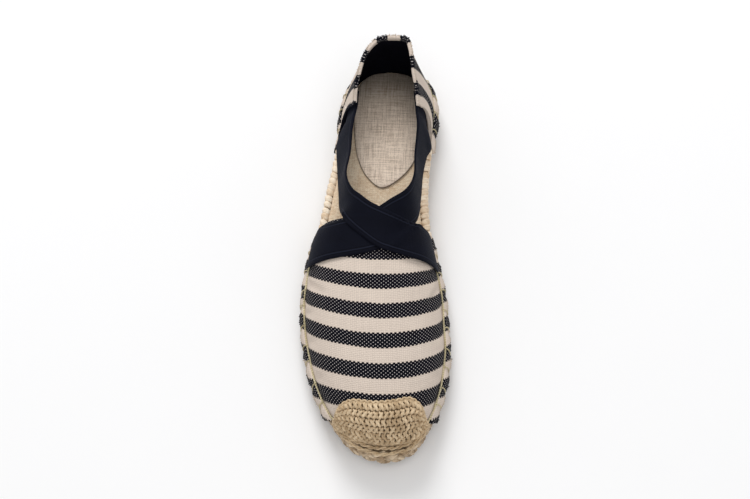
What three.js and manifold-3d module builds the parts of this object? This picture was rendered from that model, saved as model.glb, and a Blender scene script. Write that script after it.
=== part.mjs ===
// An espadrille for the right foot: braided jute sole, striped canvas vamp and heel quarter,
// crocheted jute toe cap and two crossed elastic bands. Millimetres, +Z up, toe towards -Y.
// Inside this file a place is given as s, x, z: s runs forward from the back of the heel,
// x points to the inner (big toe) side of the foot, and z is the height over the floor.
import * as THREE from "three";
import { mergeVertices } from "three/addons/utils/BufferGeometryUtils.js";
import Module from "manifold-3d";

const wasm = await Module();
wasm.setup();

// Driving dimensions
const LENGTH = 251.5; // of the sole, heel to toe
const HEEL_TIP_X = 0.5;
const TOE_TIP_X = 7.5;
const GAP = 0.3; // between neighbouring pieces
const CANVAS = 2.0; // vamp wall: canvas and its lining
const QUARTER_WALL = 2.2;
const QUARTER_SHOULDER = 2.2; // the turned-out edge leaves the quarter's outer face this high
const BAND = 1.5; // thickness of the elastic
const BAND_LAP = 0.25; // how far the crossing bands sink into each other where they are joined
const INSOLE_THICK = 1.5;
const PAD_THICK = 1.2;
const PAD_SHOULDER = 0.6; // its side is upright up to this share of its thickness
const CAP_PROUD = 3.0; // thickness of the crochet over the vamp
const FOOT_INSET = 2.0; // outer face of the upper's wall, in from the sole's widest line
const TOE_SETBACK = 7.8; // further inset of the upper at the very toe
const TOE_SETBACK_FROM = 220;
const RIDGE_END = 226; // the vamp's ridge stops here, and its sections fan out round the toe
const THROAT = { atFoot: 114, bow: 5 }; // rear edge of the vamp
const SIDE_POWER = 2.2; // shape of the vamp's cross-section
const TOP_POWER = 1.8;
const QUARTER_FRONT = { outer: 58, inner: 56 }; // s where the quarter's front edges meet the sole
// The quarter's wall at its front edges and at the back of the heel: how far it bulges, and
// its flare, which above 1 makes the wall stand up quickly from a foot that spreads
const QUARTER_BULGE = { front: 2.8, back: 1.0 };
const QUARTER_FLARE = { front: 1.0, back: 1.35 };
const QUARTER_CUTBACK = 0.065; // how far its front edges curve back, as a share of its turn
const FLANGE_START = { gone: 113, full: 118 }; // where the vamp's turned-out edge begins and ends
const FLANGE_END = { full: 226, gone: 230 };

// Sole outline at its widest, a row for each station: outer and inner side
const OUTLINE = [
  { s: 3.5, outer: -14.5, inner: 15.5 },
  { s: 13, outer: -24.2, inner: 25.2 },
  { s: 30, outer: -28.8, inner: 29.1 },
  { s: 50, outer: -29.4, inner: 27.6 },
  { s: 70, outer: -31.7, inner: 26.2 },
  { s: 90, outer: -34.8, inner: 26.0 },
  { s: 110, outer: -37.6, inner: 28.3 },
  { s: 128, outer: -42.2, inner: 32.4 },
  { s: 148, outer: -44.2, inner: 37.3 },
  { s: 168, outer: -43.9, inner: 39.6 },
  { s: 188, outer: -40.6, inner: 41.2 },
  { s: 205, outer: -35.9, inner: 39.7 },
  { s: 222, outer: -28.6, inner: 35.8 },
  { s: 236, outer: -20.0, inner: 30.4 },
  { s: 246, outer: -10.2, inner: 23.2 },
];

// Heights of the sole's top and underside: heel, arch, ball and toe spring
const LEVELS = [
  { s: 0, top: 20.6, under: 0.9 },
  { s: 10, top: 20.5, under: 0 },
  { s: 65, top: 20.5, under: 0 },
  { s: 95, top: 19.8, under: 1.3 },
  { s: 130, top: 17.9, under: 0 },
  { s: 190, top: 16.8, under: 0 },
  { s: 215, top: 17.8, under: 0.6 },
  { s: 235, top: 19.9, under: 2.2 },
  { s: 251.5, top: 21.6, under: 3.6 },
];

// Side of the sole: inset from the widest line, and share of the way from underside to top
const SOLE_SIDE = [
  { inset: 4.5, level: 0 },
  { inset: 2.6, level: 0.05 },
  { inset: 0.5, level: 0.3 },
  { inset: 0, level: 0.55 },
  { inset: 0.2, level: 0.8 },
  { inset: 1.2, level: 0.95 },
  { inset: 3.0, level: 1 },
];

// Ridge of the vamp and toe box: sideways place and height over the sole's top
const RIDGE = [
  { s: 105, x: -2.5, rise: 34.5 },
  { s: 120, x: -1.5, rise: 34.5 },
  { s: 145, x: 0, rise: 33.5 },
  { s: 170, x: 1.2, rise: 31.5 },
  { s: 195, x: 2.8, rise: 28.5 },
  { s: 215, x: 4.4, rise: 24.5 },
  { s: 226, x: 5.5, rise: 21.5 },
  { s: 250, x: 7.5, rise: 17 },
];

// Edge of the canvas turned out over the sole: inset from the widest line and drop below the top
const FLANGE = {
  outside: [
    { inset: -1.9, drop: 7.0 },
    { inset: -1.3, drop: 1.8 },
    { inset: 0.5, drop: -1.7 },
  ],
  inside: [
    { inset: -0.35, drop: 7.0 },
    { inset: -0.25, drop: 2.6 },
    { inset: 1.5, drop: -0.3 },
  ],
};

// Collar line of the heel quarter, from the outer front corner round the back to the inner one
const COLLAR = [
  { s: 43.6, x: -19.3, z: 50 },
  { s: 35.5, x: -18.8, z: 56 },
  { s: 28.5, x: -17.2, z: 60 },
  { s: 21, x: -15.1, z: 63.5 },
  { s: 13.8, x: -11.6, z: 66 },
  { s: 7.6, x: -5.2, z: 67 },
  { s: 6.0, x: 3.3, z: 67 },
  { s: 7.4, x: 12.0, z: 67 },
  { s: 13.8, x: 14.8, z: 66 },
  { s: 21.5, x: 16.2, z: 63.5 },
  { s: 28.6, x: 17.6, z: 60 },
  { s: 34.4, x: 19.0, z: 56 },
  { s: 43.1, x: 20.4, z: 50 },
];

// Rear edge of the toe cap, seen from above
const CAP_EDGE = [
  { s: 233, x: -27 },
  { s: 232.2, x: -21.5 },
  { s: 227.2, x: -17 },
  { s: 225.3, x: -11.5 },
  { s: 226.8, x: 2.5 },
  { s: 225.4, x: 13 },
  { s: 222.8, x: 22 },
  { s: 225.3, x: 27.2 },
  { s: 231.8, x: 31.2 },
  { s: 233, x: 37 },
];

// Heel pad, seen from above
const PAD = [
  { s: 8, outer: -12, inner: 12.5 },
  { s: 16, outer: -18.6, inner: 18.5 },
  { s: 32, outer: -20.5, inner: 20 },
  { s: 50, outer: -19.5, inner: 20 },
  { s: 66, outer: -16.5, inner: 17.5 },
  { s: 78, outer: -10.5, inner: 9.5 },
];
const PAD_HEEL = { s: 5.8, x: 0.8 };
const PAD_TIP = { s: 84.7, x: -1.5 };

// Elastic bands. rear and front are their two edges: inside the quarter (turn, rise),
// free in the air (s, x, z) or lying on the vamp (side, s, u), with u = 1 at the vamp's foot.
// lift is how far a row rides over the vamp or over the other band.
const CROSSING_LIFT = BAND - BAND_LAP;
const OUTER_BAND = [
  { rear: { turn: 0.09, rise: 0.95 }, front: { turn: 0.09, rise: 0.16 } },
  { rear: { turn: 0.0, rise: 0.95 }, front: { turn: 0.0, rise: 0.19 } },
  { rear: { s: 48.5, x: -17.4, z: 49.3 }, front: { s: 57.5, x: -29.6, z: 24.5 } },
  { rear: { s: 54, x: -18.4, z: 49 }, front: { s: 63.5, x: -29.4, z: 26 } },
  { rear: { s: 74, x: -19.0, z: 50.5 }, front: { s: 79, x: -27.8, z: 27.5 } },
  { rear: { s: 91, x: -20.4, z: 53.5 }, front: { s: 95, x: -25.8, z: 31.5 }, lift: CROSSING_LIFT / 2 },
  { rear: { s: 101.5, x: -16.4, z: 56.5 }, front: { s: 109, x: -24.0, z: 39 }, lift: CROSSING_LIFT },
  { rear: { s: 107.5, x: -10.5, z: 58.8 }, front: { side: "outer", s: 121, u: 0.46 }, lift: CROSSING_LIFT },
  { rear: { s: 112.5, x: -4.5, z: 60 }, front: { side: "outer", s: 130.5, u: 0.22 }, lift: CROSSING_LIFT },
  { rear: { s: 116, x: 3.5, z: 58.5 }, front: { side: "inner", s: 138.5, u: 0.05 }, lift: CROSSING_LIFT },
  {
    rear: { side: "inner", s: 118.5, u: 0.42 },
    front: { side: "inner", s: 141, u: 0.38 },
    lift: CROSSING_LIFT,
  },
  {
    rear: { side: "inner", s: 118.5, u: 0.74 },
    front: { side: "inner", s: 141, u: 0.72 },
    lift: CROSSING_LIFT,
  },
  {
    rear: { side: "inner", s: 116.5, u: 0.92 },
    front: { side: "inner", s: 140, u: 0.91 },
    lift: CROSSING_LIFT * 0.4,
  },
  { rear: { side: "inner", s: 115, u: 0.988 }, front: { side: "inner", s: 138.5, u: 0.988 } },
];
const INNER_BAND = [
  { rear: { turn: 0.91, rise: 0.95 }, front: { turn: 0.91, rise: 0.16 } },
  { rear: { turn: 1.0, rise: 0.95 }, front: { turn: 1.0, rise: 0.16 } },
  { rear: { s: 48.5, x: 18.2, z: 49.3 }, front: { s: 58, x: 27.2, z: 23.1 } },
  { rear: { s: 54, x: 19, z: 49 }, front: { s: 65, x: 24.8, z: 25.2 } },
  { rear: { s: 74, x: 18.6, z: 50 }, front: { s: 79, x: 22.8, z: 27 } },
  { rear: { s: 91, x: 18.6, z: 52.5 }, front: { s: 95, x: 22.4, z: 30.5 } },
  { rear: { s: 101.5, x: 14.5, z: 56 }, front: { side: "inner", s: 116.5, u: 0.74 } },
  { rear: { s: 109, x: 6.5, z: 58.5 }, front: { side: "inner", s: 130, u: 0.36 } },
  { rear: { s: 115.5, x: -3.5, z: 56.5 }, front: { side: "inner", s: 139, u: 0.0 } },
  { rear: { side: "outer", s: 118.5, u: 0.4 }, front: { side: "outer", s: 142, u: 0.34 } },
  { rear: { side: "outer", s: 118.5, u: 0.72 }, front: { side: "outer", s: 142, u: 0.68 } },
  { rear: { side: "outer", s: 116, u: 0.92 }, front: { side: "outer", s: 141, u: 0.9 } },
  { rear: { side: "outer", s: 114.5, u: 0.988 }, front: { side: "outer", s: 138.5, u: 0.988 } },
];

// Sizes of the tools that cut the toe cap out, all larger than the cap itself
const CAP_CUTTER = { half: 60, ahead: 20, height: 80, below: 10, outerFrom: 205, innerFrom: 200 };

// Mesh fineness
const ROUND_SOLE = 96;
const OUTLINE_SAMPLES = 480;
const VAMP_STATIONS = 14;
const TOE_RAYS = 30;
const VAMP_ROWS = 9;
const QUARTER_SECTIONS = 36;
const QUARTER_ROWS = 6;
const BAND_STATIONS = 30;
const BAND_STRIPS = 4;

const COLOURS = {
  jute: 0xc9b499,
  insole: 0xb9a084,
  linen: 0xcabaab,
  canvas: 0xd9c9bc,
  crochet: 0xa38d71,
  elastic: 0x14151e,
};

// Value of a table's column at s, by a monotone cubic through the rows
function tableValue(rows, column, s) {
  const last = rows.length - 1;
  if (s <= rows[0].s) return rows[0][column];
  if (s >= rows[last].s) return rows[last][column];
  let i = 0;
  while (s > rows[i + 1].s) i += 1;
  const rate = (k) => (rows[k + 1][column] - rows[k][column]) / (rows[k + 1].s - rows[k].s);
  const slope = (k) => {
    if (k === 0) return rate(0);
    if (k === last) return rate(last - 1);
    const before = rate(k - 1);
    const after = rate(k);
    return before * after <= 0 ? 0 : (2 * before * after) / (before + after);
  };
  const width = rows[i + 1].s - rows[i].s;
  const t = (s - rows[i].s) / width;
  const t2 = t * t;
  const t3 = t2 * t;
  return (
    rows[i][column] * (2 * t3 - 3 * t2 + 1) +
    slope(i) * width * (t3 - 2 * t2 + t) +
    rows[i + 1][column] * (3 * t2 - 2 * t3) +
    slope(i + 1) * width * (t3 - t2)
  );
}

const soleTop = (s) => tableValue(LEVELS, "top", s);
const soleUnder = (s) => tableValue(LEVELS, "under", s);
const place = (s, x, z) => new THREE.Vector3(x, LENGTH - s, z);

// Closed curve in plan through a table's rows: down the outer side and back up the inner side
function roundCurve(rows, heel, toe) {
  const outer = rows.map((row) => new THREE.Vector3(row.outer, LENGTH - row.s, 0));
  const inner = rows.map((row) => new THREE.Vector3(row.inner, LENGTH - row.s, 0)).reverse();
  const tips = [heel, toe].map((tip) => new THREE.Vector3(tip.x, LENGTH - tip.s, 0));
  return new THREE.CatmullRomCurve3([tips[0], ...outer, tips[1], ...inner], true, "centripetal");
}

// Point of such a curve moved inwards by an inset; around is 0 at the heel and 0.5 at the toe
function insetPoint(curve, around, inset) {
  const point = curve.getPoint(around);
  const along = curve.getTangent(around);
  return { s: LENGTH - point.y - along.x * inset, x: point.x - along.y * inset };
}

const outlineCurve = roundCurve(OUTLINE, { s: 0, x: HEEL_TIP_X }, { s: LENGTH, x: TOE_TIP_X });

// Foot of the upper's outer face, or of the form grown by grow
function footPoint(around, grow) {
  const s = LENGTH - outlineCurve.getPoint(around).y;
  const toe = Math.max(0, (s - TOE_SETBACK_FROM) / (LENGTH - TOE_SETBACK_FROM));
  return insetPoint(outlineCurve, around, FOOT_INSET + TOE_SETBACK * toe * toe - grow);
}

// Foot lines sampled once for each growth, as outer and inner side from heel to toe
const sampledFeet = new Map();
function feetOf(grow) {
  if (!sampledFeet.has(grow)) {
    const sides = { outer: [], inner: [] };
    for (let i = 0; i <= OUTLINE_SAMPLES; i += 1) {
      const share = (0.5 * i) / OUTLINE_SAMPLES;
      sides.outer.push({ around: share, ...footPoint(share, grow) });
      sides.inner.push({ around: 1 - share, ...footPoint(1 - share, grow) });
    }
    sampledFeet.set(grow, sides);
  }
  return sampledFeet.get(grow);
}

// Foot point at station s on one side
function footAt(side, s, grow) {
  const line = feetOf(grow)[side];
  let i = 0;
  while (i < line.length - 2 && line[i + 1].s < s) i += 1;
  const t = (s - line[i].s) / (line[i + 1].s - line[i].s);
  return {
    x: THREE.MathUtils.lerp(line[i].x, line[i + 1].x, t),
    around: THREE.MathUtils.lerp(line[i].around, line[i + 1].around, t),
  };
}

// Height of the form over the sole: rise on the ridge, and a rounded fall to the foot at u = 1
function formHeight(s, u, grow) {
  const fall = Math.max(0, 1 - Math.pow(Math.abs(u), SIDE_POWER));
  return (tableValue(RIDGE, "rise", s) + grow) * Math.pow(fall, 1 / TOP_POWER);
}

// Point on the vamp's form behind the ridge's end
function vampPoint(side, s, u, grow) {
  const x = THREE.MathUtils.lerp(tableValue(RIDGE, "x", s), footAt(side, s, grow).x, u);
  return place(s, x, soleTop(s) + GAP + formHeight(s, u, grow));
}

// Point on the toe's form: rays from the ridge's end to the foot line
function toePoint(around, u, grow) {
  const foot = footPoint(around, grow);
  const s = THREE.MathUtils.lerp(RIDGE_END, foot.s, u);
  const x = THREE.MathUtils.lerp(tableValue(RIDGE, "x", RIDGE_END), foot.x, u);
  return place(s, x, soleTop(foot.s) * u + soleTop(RIDGE_END) * (1 - u) + GAP + formHeight(s, u, grow));
}

// Shares from the foot (1) to the ridge (0), closer together where the wall is steep
const ROW_SHARES = Array.from({ length: VAMP_ROWS + 1 }, (_, i) => {
  const t = i / VAMP_ROWS;
  return Math.cos((t * Math.PI) / 2) * (1 - 0.35 * t * (1 - t));
});

// Half-sections of the form from the outer throat round the toe to the inner throat
function formSections(from, bow, grow) {
  const sections = [];
  for (const side of ["outer", "inner"]) {
    const half = [];
    for (let i = 0; i <= VAMP_STATIONS; i += 1) {
      const t = i / VAMP_STATIONS;
      const s = THREE.MathUtils.lerp(from, RIDGE_END, t);
      const stationAt = (u) => s + bow * (1 - u * u) * Math.pow(1 - t, 2);
      half.push({
        around: footAt(side, s, 0).around,
        s,
        points: ROW_SHARES.map((u) => vampPoint(side, stationAt(u), u, grow)),
      });
    }
    if (side === "inner") half.reverse();
    sections.push(half);
  }
  const first = sections[0][VAMP_STATIONS].around;
  const last = sections[1][0].around;
  const rays = [];
  for (let i = 1; i < TOE_RAYS; i += 1) {
    const around = THREE.MathUtils.lerp(first, last, i / TOE_RAYS);
    const points = ROW_SHARES.map((u) => toePoint(around, u, grow));
    rays.push({ around, s: footPoint(around, 0).s, points });
  }
  return [...sections[0], ...rays, ...sections[1]];
}

// Closed solid between two grids of points with the same rows, as a THREE.BufferGeometry
function solidBetween(outside, inside, closeTop) {
  const positions = [];
  const quad = (a, b, c, d) => {
    for (const p of [a, b, c, a, c, d]) positions.push(p.x, p.y, p.z);
  };
  const rows = outside.length - 1;
  const top = outside[0].length - 1;
  for (let i = 0; i < rows; i += 1) {
    for (let j = 0; j < top; j += 1) {
      quad(outside[i][j], outside[i + 1][j], outside[i + 1][j + 1], outside[i][j + 1]);
      quad(inside[i][j], inside[i][j + 1], inside[i + 1][j + 1], inside[i + 1][j]);
    }
    quad(inside[i][0], inside[i + 1][0], outside[i + 1][0], outside[i][0]);
    if (closeTop) quad(outside[i][top], outside[i + 1][top], inside[i + 1][top], inside[i][top]);
  }
  for (let j = 0; j < top; j += 1) {
    quad(outside[0][j], outside[0][j + 1], inside[0][j + 1], inside[0][j]);
    quad(inside[rows][j], inside[rows][j + 1], outside[rows][j + 1], outside[rows][j]);
  }
  return positionsToGeometry(positions);
}

// Merges shared vertices, drops triangles without area and turns the faces outwards
function positionsToGeometry(positions) {
  const loose = new THREE.BufferGeometry();
  loose.setAttribute("position", new THREE.Float32BufferAttribute(positions, 3));
  const merged = mergeVertices(loose, 1e-3);
  const place3 = (i) => new THREE.Vector3().fromBufferAttribute(merged.attributes.position, i);
  const kept = [];
  let volume = 0;
  for (let i = 0; i < merged.index.count; i += 3) {
    const [a, b, c] = [0, 1, 2].map((k) => merged.index.getX(i + k));
    if (a === b || b === c || a === c) continue;
    kept.push([a, b, c]);
    volume += place3(a).dot(place3(b).cross(place3(c)));
  }
  merged.setIndex(kept.flatMap(([a, b, c]) => (volume < 0 ? [a, c, b] : [a, b, c])));
  return merged;
}

function toSolid(geometry) {
  const bare = geometry.clone();
  bare.deleteAttribute("normal");
  bare.deleteAttribute("uv");
  const merged = mergeVertices(bare, 1e-3);
  const vertProperties = new Float32Array(merged.attributes.position.array);
  const triVerts = new Uint32Array(merged.index.array);
  return new wasm.Manifold(new wasm.Mesh({ numProp: 3, vertProperties, triVerts }));
}

function toGeometry(solid) {
  const mesh = solid.getMesh();
  const geometry = new THREE.BufferGeometry();
  geometry.setAttribute("position", new THREE.Float32BufferAttribute(mesh.vertProperties, 3));
  geometry.setIndex(new THREE.Uint32BufferAttribute(mesh.triVerts, 1));
  return geometry;
}

// Solid of stacked rings, each an array of points in the same order, closed by strips
// that run straight across from one side of the ring to the other
function stackedRings(rings) {
  const positions = [];
  const triangle = (a, b, c) => {
    for (const p of [a, b, c]) positions.push(p.x, p.y, p.z);
  };
  const count = rings[0].length;
  for (let k = 0; k < rings.length - 1; k += 1) {
    for (let i = 0; i < count; i += 1) {
      const j = (i + 1) % count;
      triangle(rings[k][i], rings[k][j], rings[k + 1][j]);
      triangle(rings[k][i], rings[k + 1][j], rings[k + 1][i]);
    }
  }
  for (const [ring, up] of [[rings[0], false], [rings[rings.length - 1], true]]) {
    for (let i = 0; i < count / 2; i += 1) {
      const corners = [ring[i], ring[i + 1], ring[(count - i - 1) % count], ring[(count - i) % count]];
      const [a, b, c, d] = up ? corners : corners.reverse();
      triangle(a, b, c);
      triangle(a, c, d);
    }
  }
  return positionsToGeometry(positions);
}

function ringOf(curve, inset, heightAt) {
  return Array.from({ length: ROUND_SOLE }, (_, i) => {
    const { s, x } = insetPoint(curve, i / ROUND_SOLE, inset);
    return place(s, x, heightAt(s));
  });
}

function makeSole() {
  const rings = SOLE_SIDE.map(({ inset, level }) =>
    ringOf(outlineCurve, inset, (s) => THREE.MathUtils.lerp(soleUnder(s), soleTop(s), level)),
  );
  return stackedRings(rings);
}

function makeInsole() {
  const foot = Array.from({ length: ROUND_SOLE }, (_, i) => footPoint(i / ROUND_SOLE, -CANVAS - 2 * GAP));
  const ring = (lift) => foot.map(({ s, x }) => place(s, x, soleTop(s) + lift));
  return stackedRings([ring(GAP), ring(GAP + INSOLE_THICK)]);
}

function makeHeelPad() {
  const curve = roundCurve(PAD, PAD_HEEL, PAD_TIP);
  const base = 2 * GAP + INSOLE_THICK;
  const bottom = ringOf(curve, 0, (s) => soleTop(s) + base);
  const shoulder = ringOf(curve, 0, (s) => soleTop(s) + base + PAD_THICK * PAD_SHOULDER);
  const top = ringOf(curve, 1, (s) => soleTop(s) + base + PAD_THICK);
  return stackedRings([bottom, shoulder, top]);
}

// The turned-out edge at a place round the outline; share is 1 in full and 0 where it has ended.
// As it runs out it first rises up the side of the sole, then draws in to the wall.
function flangePoints(rows, around, share) {
  const wall = footPoint(around, 0);
  const outwards = Math.pow(share, 0.3);
  const downwards = share * share;
  return rows.map(({ inset, drop }) => {
    const edge = insetPoint(outlineCurve, around, inset);
    const s = THREE.MathUtils.lerp(wall.s, edge.s, outwards);
    const x = THREE.MathUtils.lerp(wall.x, edge.x, outwards);
    return place(s, x, soleTop(s) - drop * downwards + GAP * (1 - downwards));
  });
}

function makeVamp() {
  const ramp = (s, { gone, full }) => THREE.MathUtils.clamp((s - gone) / (full - gone), 0, 1);
  const shareAt = (s) => Math.min(ramp(s, FLANGE_START), ramp(s, FLANGE_END));
  const outside = formSections(THROAT.atFoot, THROAT.bow, 0);
  const inside = formSections(THROAT.atFoot, THROAT.bow, -CANVAS);
  const withFlange = (sections, rows) =>
    sections.map(({ around, s, points }) => [...flangePoints(rows, around, shareAt(s)), ...points]);
  return solidBetween(withFlange(outside, FLANGE.outside), withFlange(inside, FLANGE.inside), false);
}

const collarCurve = new THREE.CatmullRomCurve3(
  COLLAR.map(({ s, x, z }) => place(s, x, z)),
  false,
  "centripetal",
);

// Point of the heel quarter: turn 0 to 1 from outer to inner front edge, rise 0 to 1 foot to
// collar, and depth measured inwards from the outer face
function quarterPoint(turnAtFoot, rise, depth) {
  const turn = 0.5 + (turnAtFoot - 0.5) * (1 - 2 * QUARTER_CUTBACK * Math.sin(Math.PI * rise));
  const back = Math.sin(Math.PI * turn);
  const flare = THREE.MathUtils.lerp(QUARTER_FLARE.front, QUARTER_FLARE.back, back);
  const bulge = THREE.MathUtils.lerp(QUARTER_BULGE.front, QUARTER_BULGE.back, back);
  const start = footAt("outer", QUARTER_FRONT.outer, 0).around;
  const end = footAt("inner", QUARTER_FRONT.inner, 0).around - 1;
  const around = THREE.MathUtils.lerp(start, end, turn);
  const foot = footPoint((around + 1) % 1, -depth);
  const along = collarCurve.getTangentAt(turn);
  const inwards = new THREE.Vector3(along.y, -along.x, 0).normalize();
  const collar = collarCurve.getPointAt(turn).addScaledVector(inwards, depth);
  const low = place(foot.s, foot.x, soleTop(foot.s) + GAP);
  const point = low.clone().lerp(collar, 1 - Math.pow(1 - rise, flare));
  point.z = THREE.MathUtils.lerp(low.z, collar.z, rise);
  return point.addScaledVector(inwards, -bulge * Math.sin(Math.PI * Math.sqrt(rise)));
}

function makeQuarter() {
  const start = footAt("outer", QUARTER_FRONT.outer, 0).around;
  const end = footAt("inner", QUARTER_FRONT.inner, 0).around - 1;
  const grid = (depth, flange) =>
    Array.from({ length: QUARTER_SECTIONS + 1 }, (_, i) => {
      const turn = i / QUARTER_SECTIONS;
      const around = (THREE.MathUtils.lerp(start, end, turn) + 1) % 1;
      const wall = Array.from({ length: QUARTER_ROWS + 1 }, (__, j) =>
        quarterPoint(turn, j / QUARTER_ROWS, depth),
      );
      if (flange === FLANGE.outside) wall[0].z += QUARTER_SHOULDER;
      return [...flangePoints(flange, around, 1), ...wall];
    });
  return solidBetween(grid(0, FLANGE.outside), grid(QUARTER_WALL, FLANGE.inside), true);
}

// The form as a filled solid over a level floor, for cutting
function formSolid(from, grow, drop) {
  const sections = formSections(from, 0, grow).map(({ points }) => points);
  const floors = sections.map((points) => points.map((p) => place(LENGTH - p.y, p.x, soleTop(LENGTH - p.y) - drop)));
  return toSolid(solidBetween(sections, floors, false));
}

function makeToeCap() {
  const edge = new THREE.SplineCurve(CAP_EDGE.map(({ s, x }) => new THREE.Vector2(x, LENGTH - s)));
  const shape = new THREE.Shape(edge.getPoints(36));
  shape.lineTo(CAP_CUTTER.half, -CAP_CUTTER.ahead);
  shape.lineTo(-CAP_CUTTER.half, -CAP_CUTTER.ahead);
  const cutter = toSolid(
    new THREE.ExtrudeGeometry(shape, { depth: CAP_CUTTER.height, bevelEnabled: false, steps: 1 }),
  );
  const outer = formSolid(CAP_CUTTER.outerFrom, GAP + CAP_PROUD, -2 * GAP);
  const inner = formSolid(CAP_CUTTER.innerFrom, GAP, CAP_CUTTER.below);
  return toGeometry(outer.intersect(cutter).subtract(inner));
}

// Edge point of a band from its row entry; lift is its height over whatever it lies on
function bandEdge(entry, lift) {
  const inside = QUARTER_WALL + 3 * GAP + BAND / 2;
  if (entry.turn !== undefined) return quarterPoint(entry.turn, entry.rise, inside);
  if (entry.side !== undefined) return vampPoint(entry.side, entry.s, entry.u, GAP + BAND / 2 + lift);
  return place(entry.s, entry.x, entry.z);
}

// Middle surface of a band as a grid, curved over the vamp where it lies on it
function bandGrid(rows) {
  const curve = (edge) =>
    new THREE.CatmullRomCurve3(
      rows.map((row) => bandEdge(row[edge], row.lift ?? 0)),
      false,
      "centripetal",
    );
  const rear = curve("rear");
  const front = curve("front");
  return Array.from({ length: BAND_STATIONS + 1 }, (_, i) => {
    const t = i / BAND_STATIONS;
    return Array.from({ length: BAND_STRIPS + 1 }, (__, j) =>
      rear.getPoint(t).lerp(front.getPoint(t), j / BAND_STRIPS),
    );
  });
}

// Gives a grid its thickness along its own normals
function thicken(grid, thickness) {
  const last = grid.length - 1;
  const wide = grid[0].length - 1;
  const moved = (distance) =>
    grid.map((row, i) =>
      row.map((point, j) => {
        const along = grid[Math.min(i + 1, last)][j].clone().sub(grid[Math.max(i - 1, 0)][j]);
        const across = row[Math.min(j + 1, wide)].clone().sub(row[Math.max(j - 1, 0)]);
        return point.clone().addScaledVector(along.cross(across).normalize(), distance);
      }),
    );
  return solidBetween(moved(thickness / 2), moved(-thickness / 2), true);
}

function makeStraps() {
  const upper = toSolid(thicken(bandGrid(OUTER_BAND), BAND));
  const lower = toSolid(thicken(bandGrid(INNER_BAND), BAND));
  const vamp = formSolid(THROAT.atFoot - 1, GAP, 5);
  return toGeometry(upper.add(lower).subtract(vamp));
}

function named(name, geometry, color, roughness) {
  const mesh = new THREE.Mesh(
    geometry,
    new THREE.MeshStandardMaterial({ color, roughness, metalness: 0, flatShading: true }),
  );
  mesh.name = name;
  return mesh;
}

const espadrille = new THREE.Group();
espadrille.name = "espadrille";
espadrille.add(
  named("sole", makeSole(), COLOURS.jute, 0.95),
  named("insole", makeInsole(), COLOURS.insole, 0.9),
  named("heel_pad", makeHeelPad(), COLOURS.linen, 0.9),
  named("upper_vamp", makeVamp(), COLOURS.canvas, 0.9),
  named("toe_cap", makeToeCap(), COLOURS.crochet, 0.95),
  named("upper_quarter", makeQuarter(), COLOURS.canvas, 0.9),
  named("upper_straps", makeStraps(), COLOURS.elastic, 0.75),
);

// Origin under the middle of the whole shoe, on the floor
const box = new THREE.Box3().setFromObject(espadrille);
const middle = box.getCenter(new THREE.Vector3());
espadrille.position.set(-middle.x, -middle.y, -box.min.z);

export default espadrille;
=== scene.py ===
"""Blender looks for an espadrille: braided jute sole, striped canvas, crocheted toe, elastic bands.

Inside this script a place on the shoe is s, x, z in millimetres: s runs forward from the back
of the heel, x points to the inner side of the foot and z is the height over the floor.
"""

import math

import bpy
import numpy as np
from mathutils import Matrix, Vector


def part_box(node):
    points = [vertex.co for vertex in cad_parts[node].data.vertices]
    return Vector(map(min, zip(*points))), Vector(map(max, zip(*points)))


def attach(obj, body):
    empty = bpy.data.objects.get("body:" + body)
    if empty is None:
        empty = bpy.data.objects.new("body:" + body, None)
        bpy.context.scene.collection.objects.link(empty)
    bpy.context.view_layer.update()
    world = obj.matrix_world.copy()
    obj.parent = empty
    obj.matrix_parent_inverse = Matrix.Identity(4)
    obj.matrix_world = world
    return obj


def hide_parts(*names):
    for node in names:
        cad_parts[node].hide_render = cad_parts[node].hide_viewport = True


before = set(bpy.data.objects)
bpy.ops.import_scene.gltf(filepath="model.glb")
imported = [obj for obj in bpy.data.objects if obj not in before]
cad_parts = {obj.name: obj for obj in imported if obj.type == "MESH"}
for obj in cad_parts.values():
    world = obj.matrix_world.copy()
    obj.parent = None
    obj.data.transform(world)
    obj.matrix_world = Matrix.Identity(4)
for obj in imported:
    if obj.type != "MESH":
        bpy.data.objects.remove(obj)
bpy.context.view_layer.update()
rng = np.random.default_rng(7)


# ---------------------------------------------------------------- sizes of the shoe


def columns(names, *rows):
    """A short table as a dict of its named columns."""
    return dict(zip(names.split(), np.array(rows, float).T))


LENGTH = 251.5
HEEL_TIP_X = 0.5
TOE_TIP_X = 7.5
GAP = 0.3
CANVAS = 2.0
QUARTER_WALL = 2.2
BAND = 1.5
INSOLE_THICK = 1.5
PAD_THICK = 1.2
FOOT_INSET = 2.0
TOE_SETBACK = 7.8
TOE_SETBACK_FROM = 220
RIDGE_END = 226
THROAT_AT_FOOT = 114
THROAT_BOW = 5
SIDE_POWER = 2.2
TOP_POWER = 1.8
QUARTER_FRONT = {"outer": 58, "inner": 56}
QUARTER_BULGE = {"front": 2.8, "back": 1.0}
QUARTER_FLARE = {"front": 1.0, "back": 1.35}
QUARTER_CUTBACK = 0.065
FLANGE_START = (113, 118)
FLANGE_END = (230, 226)

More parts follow.
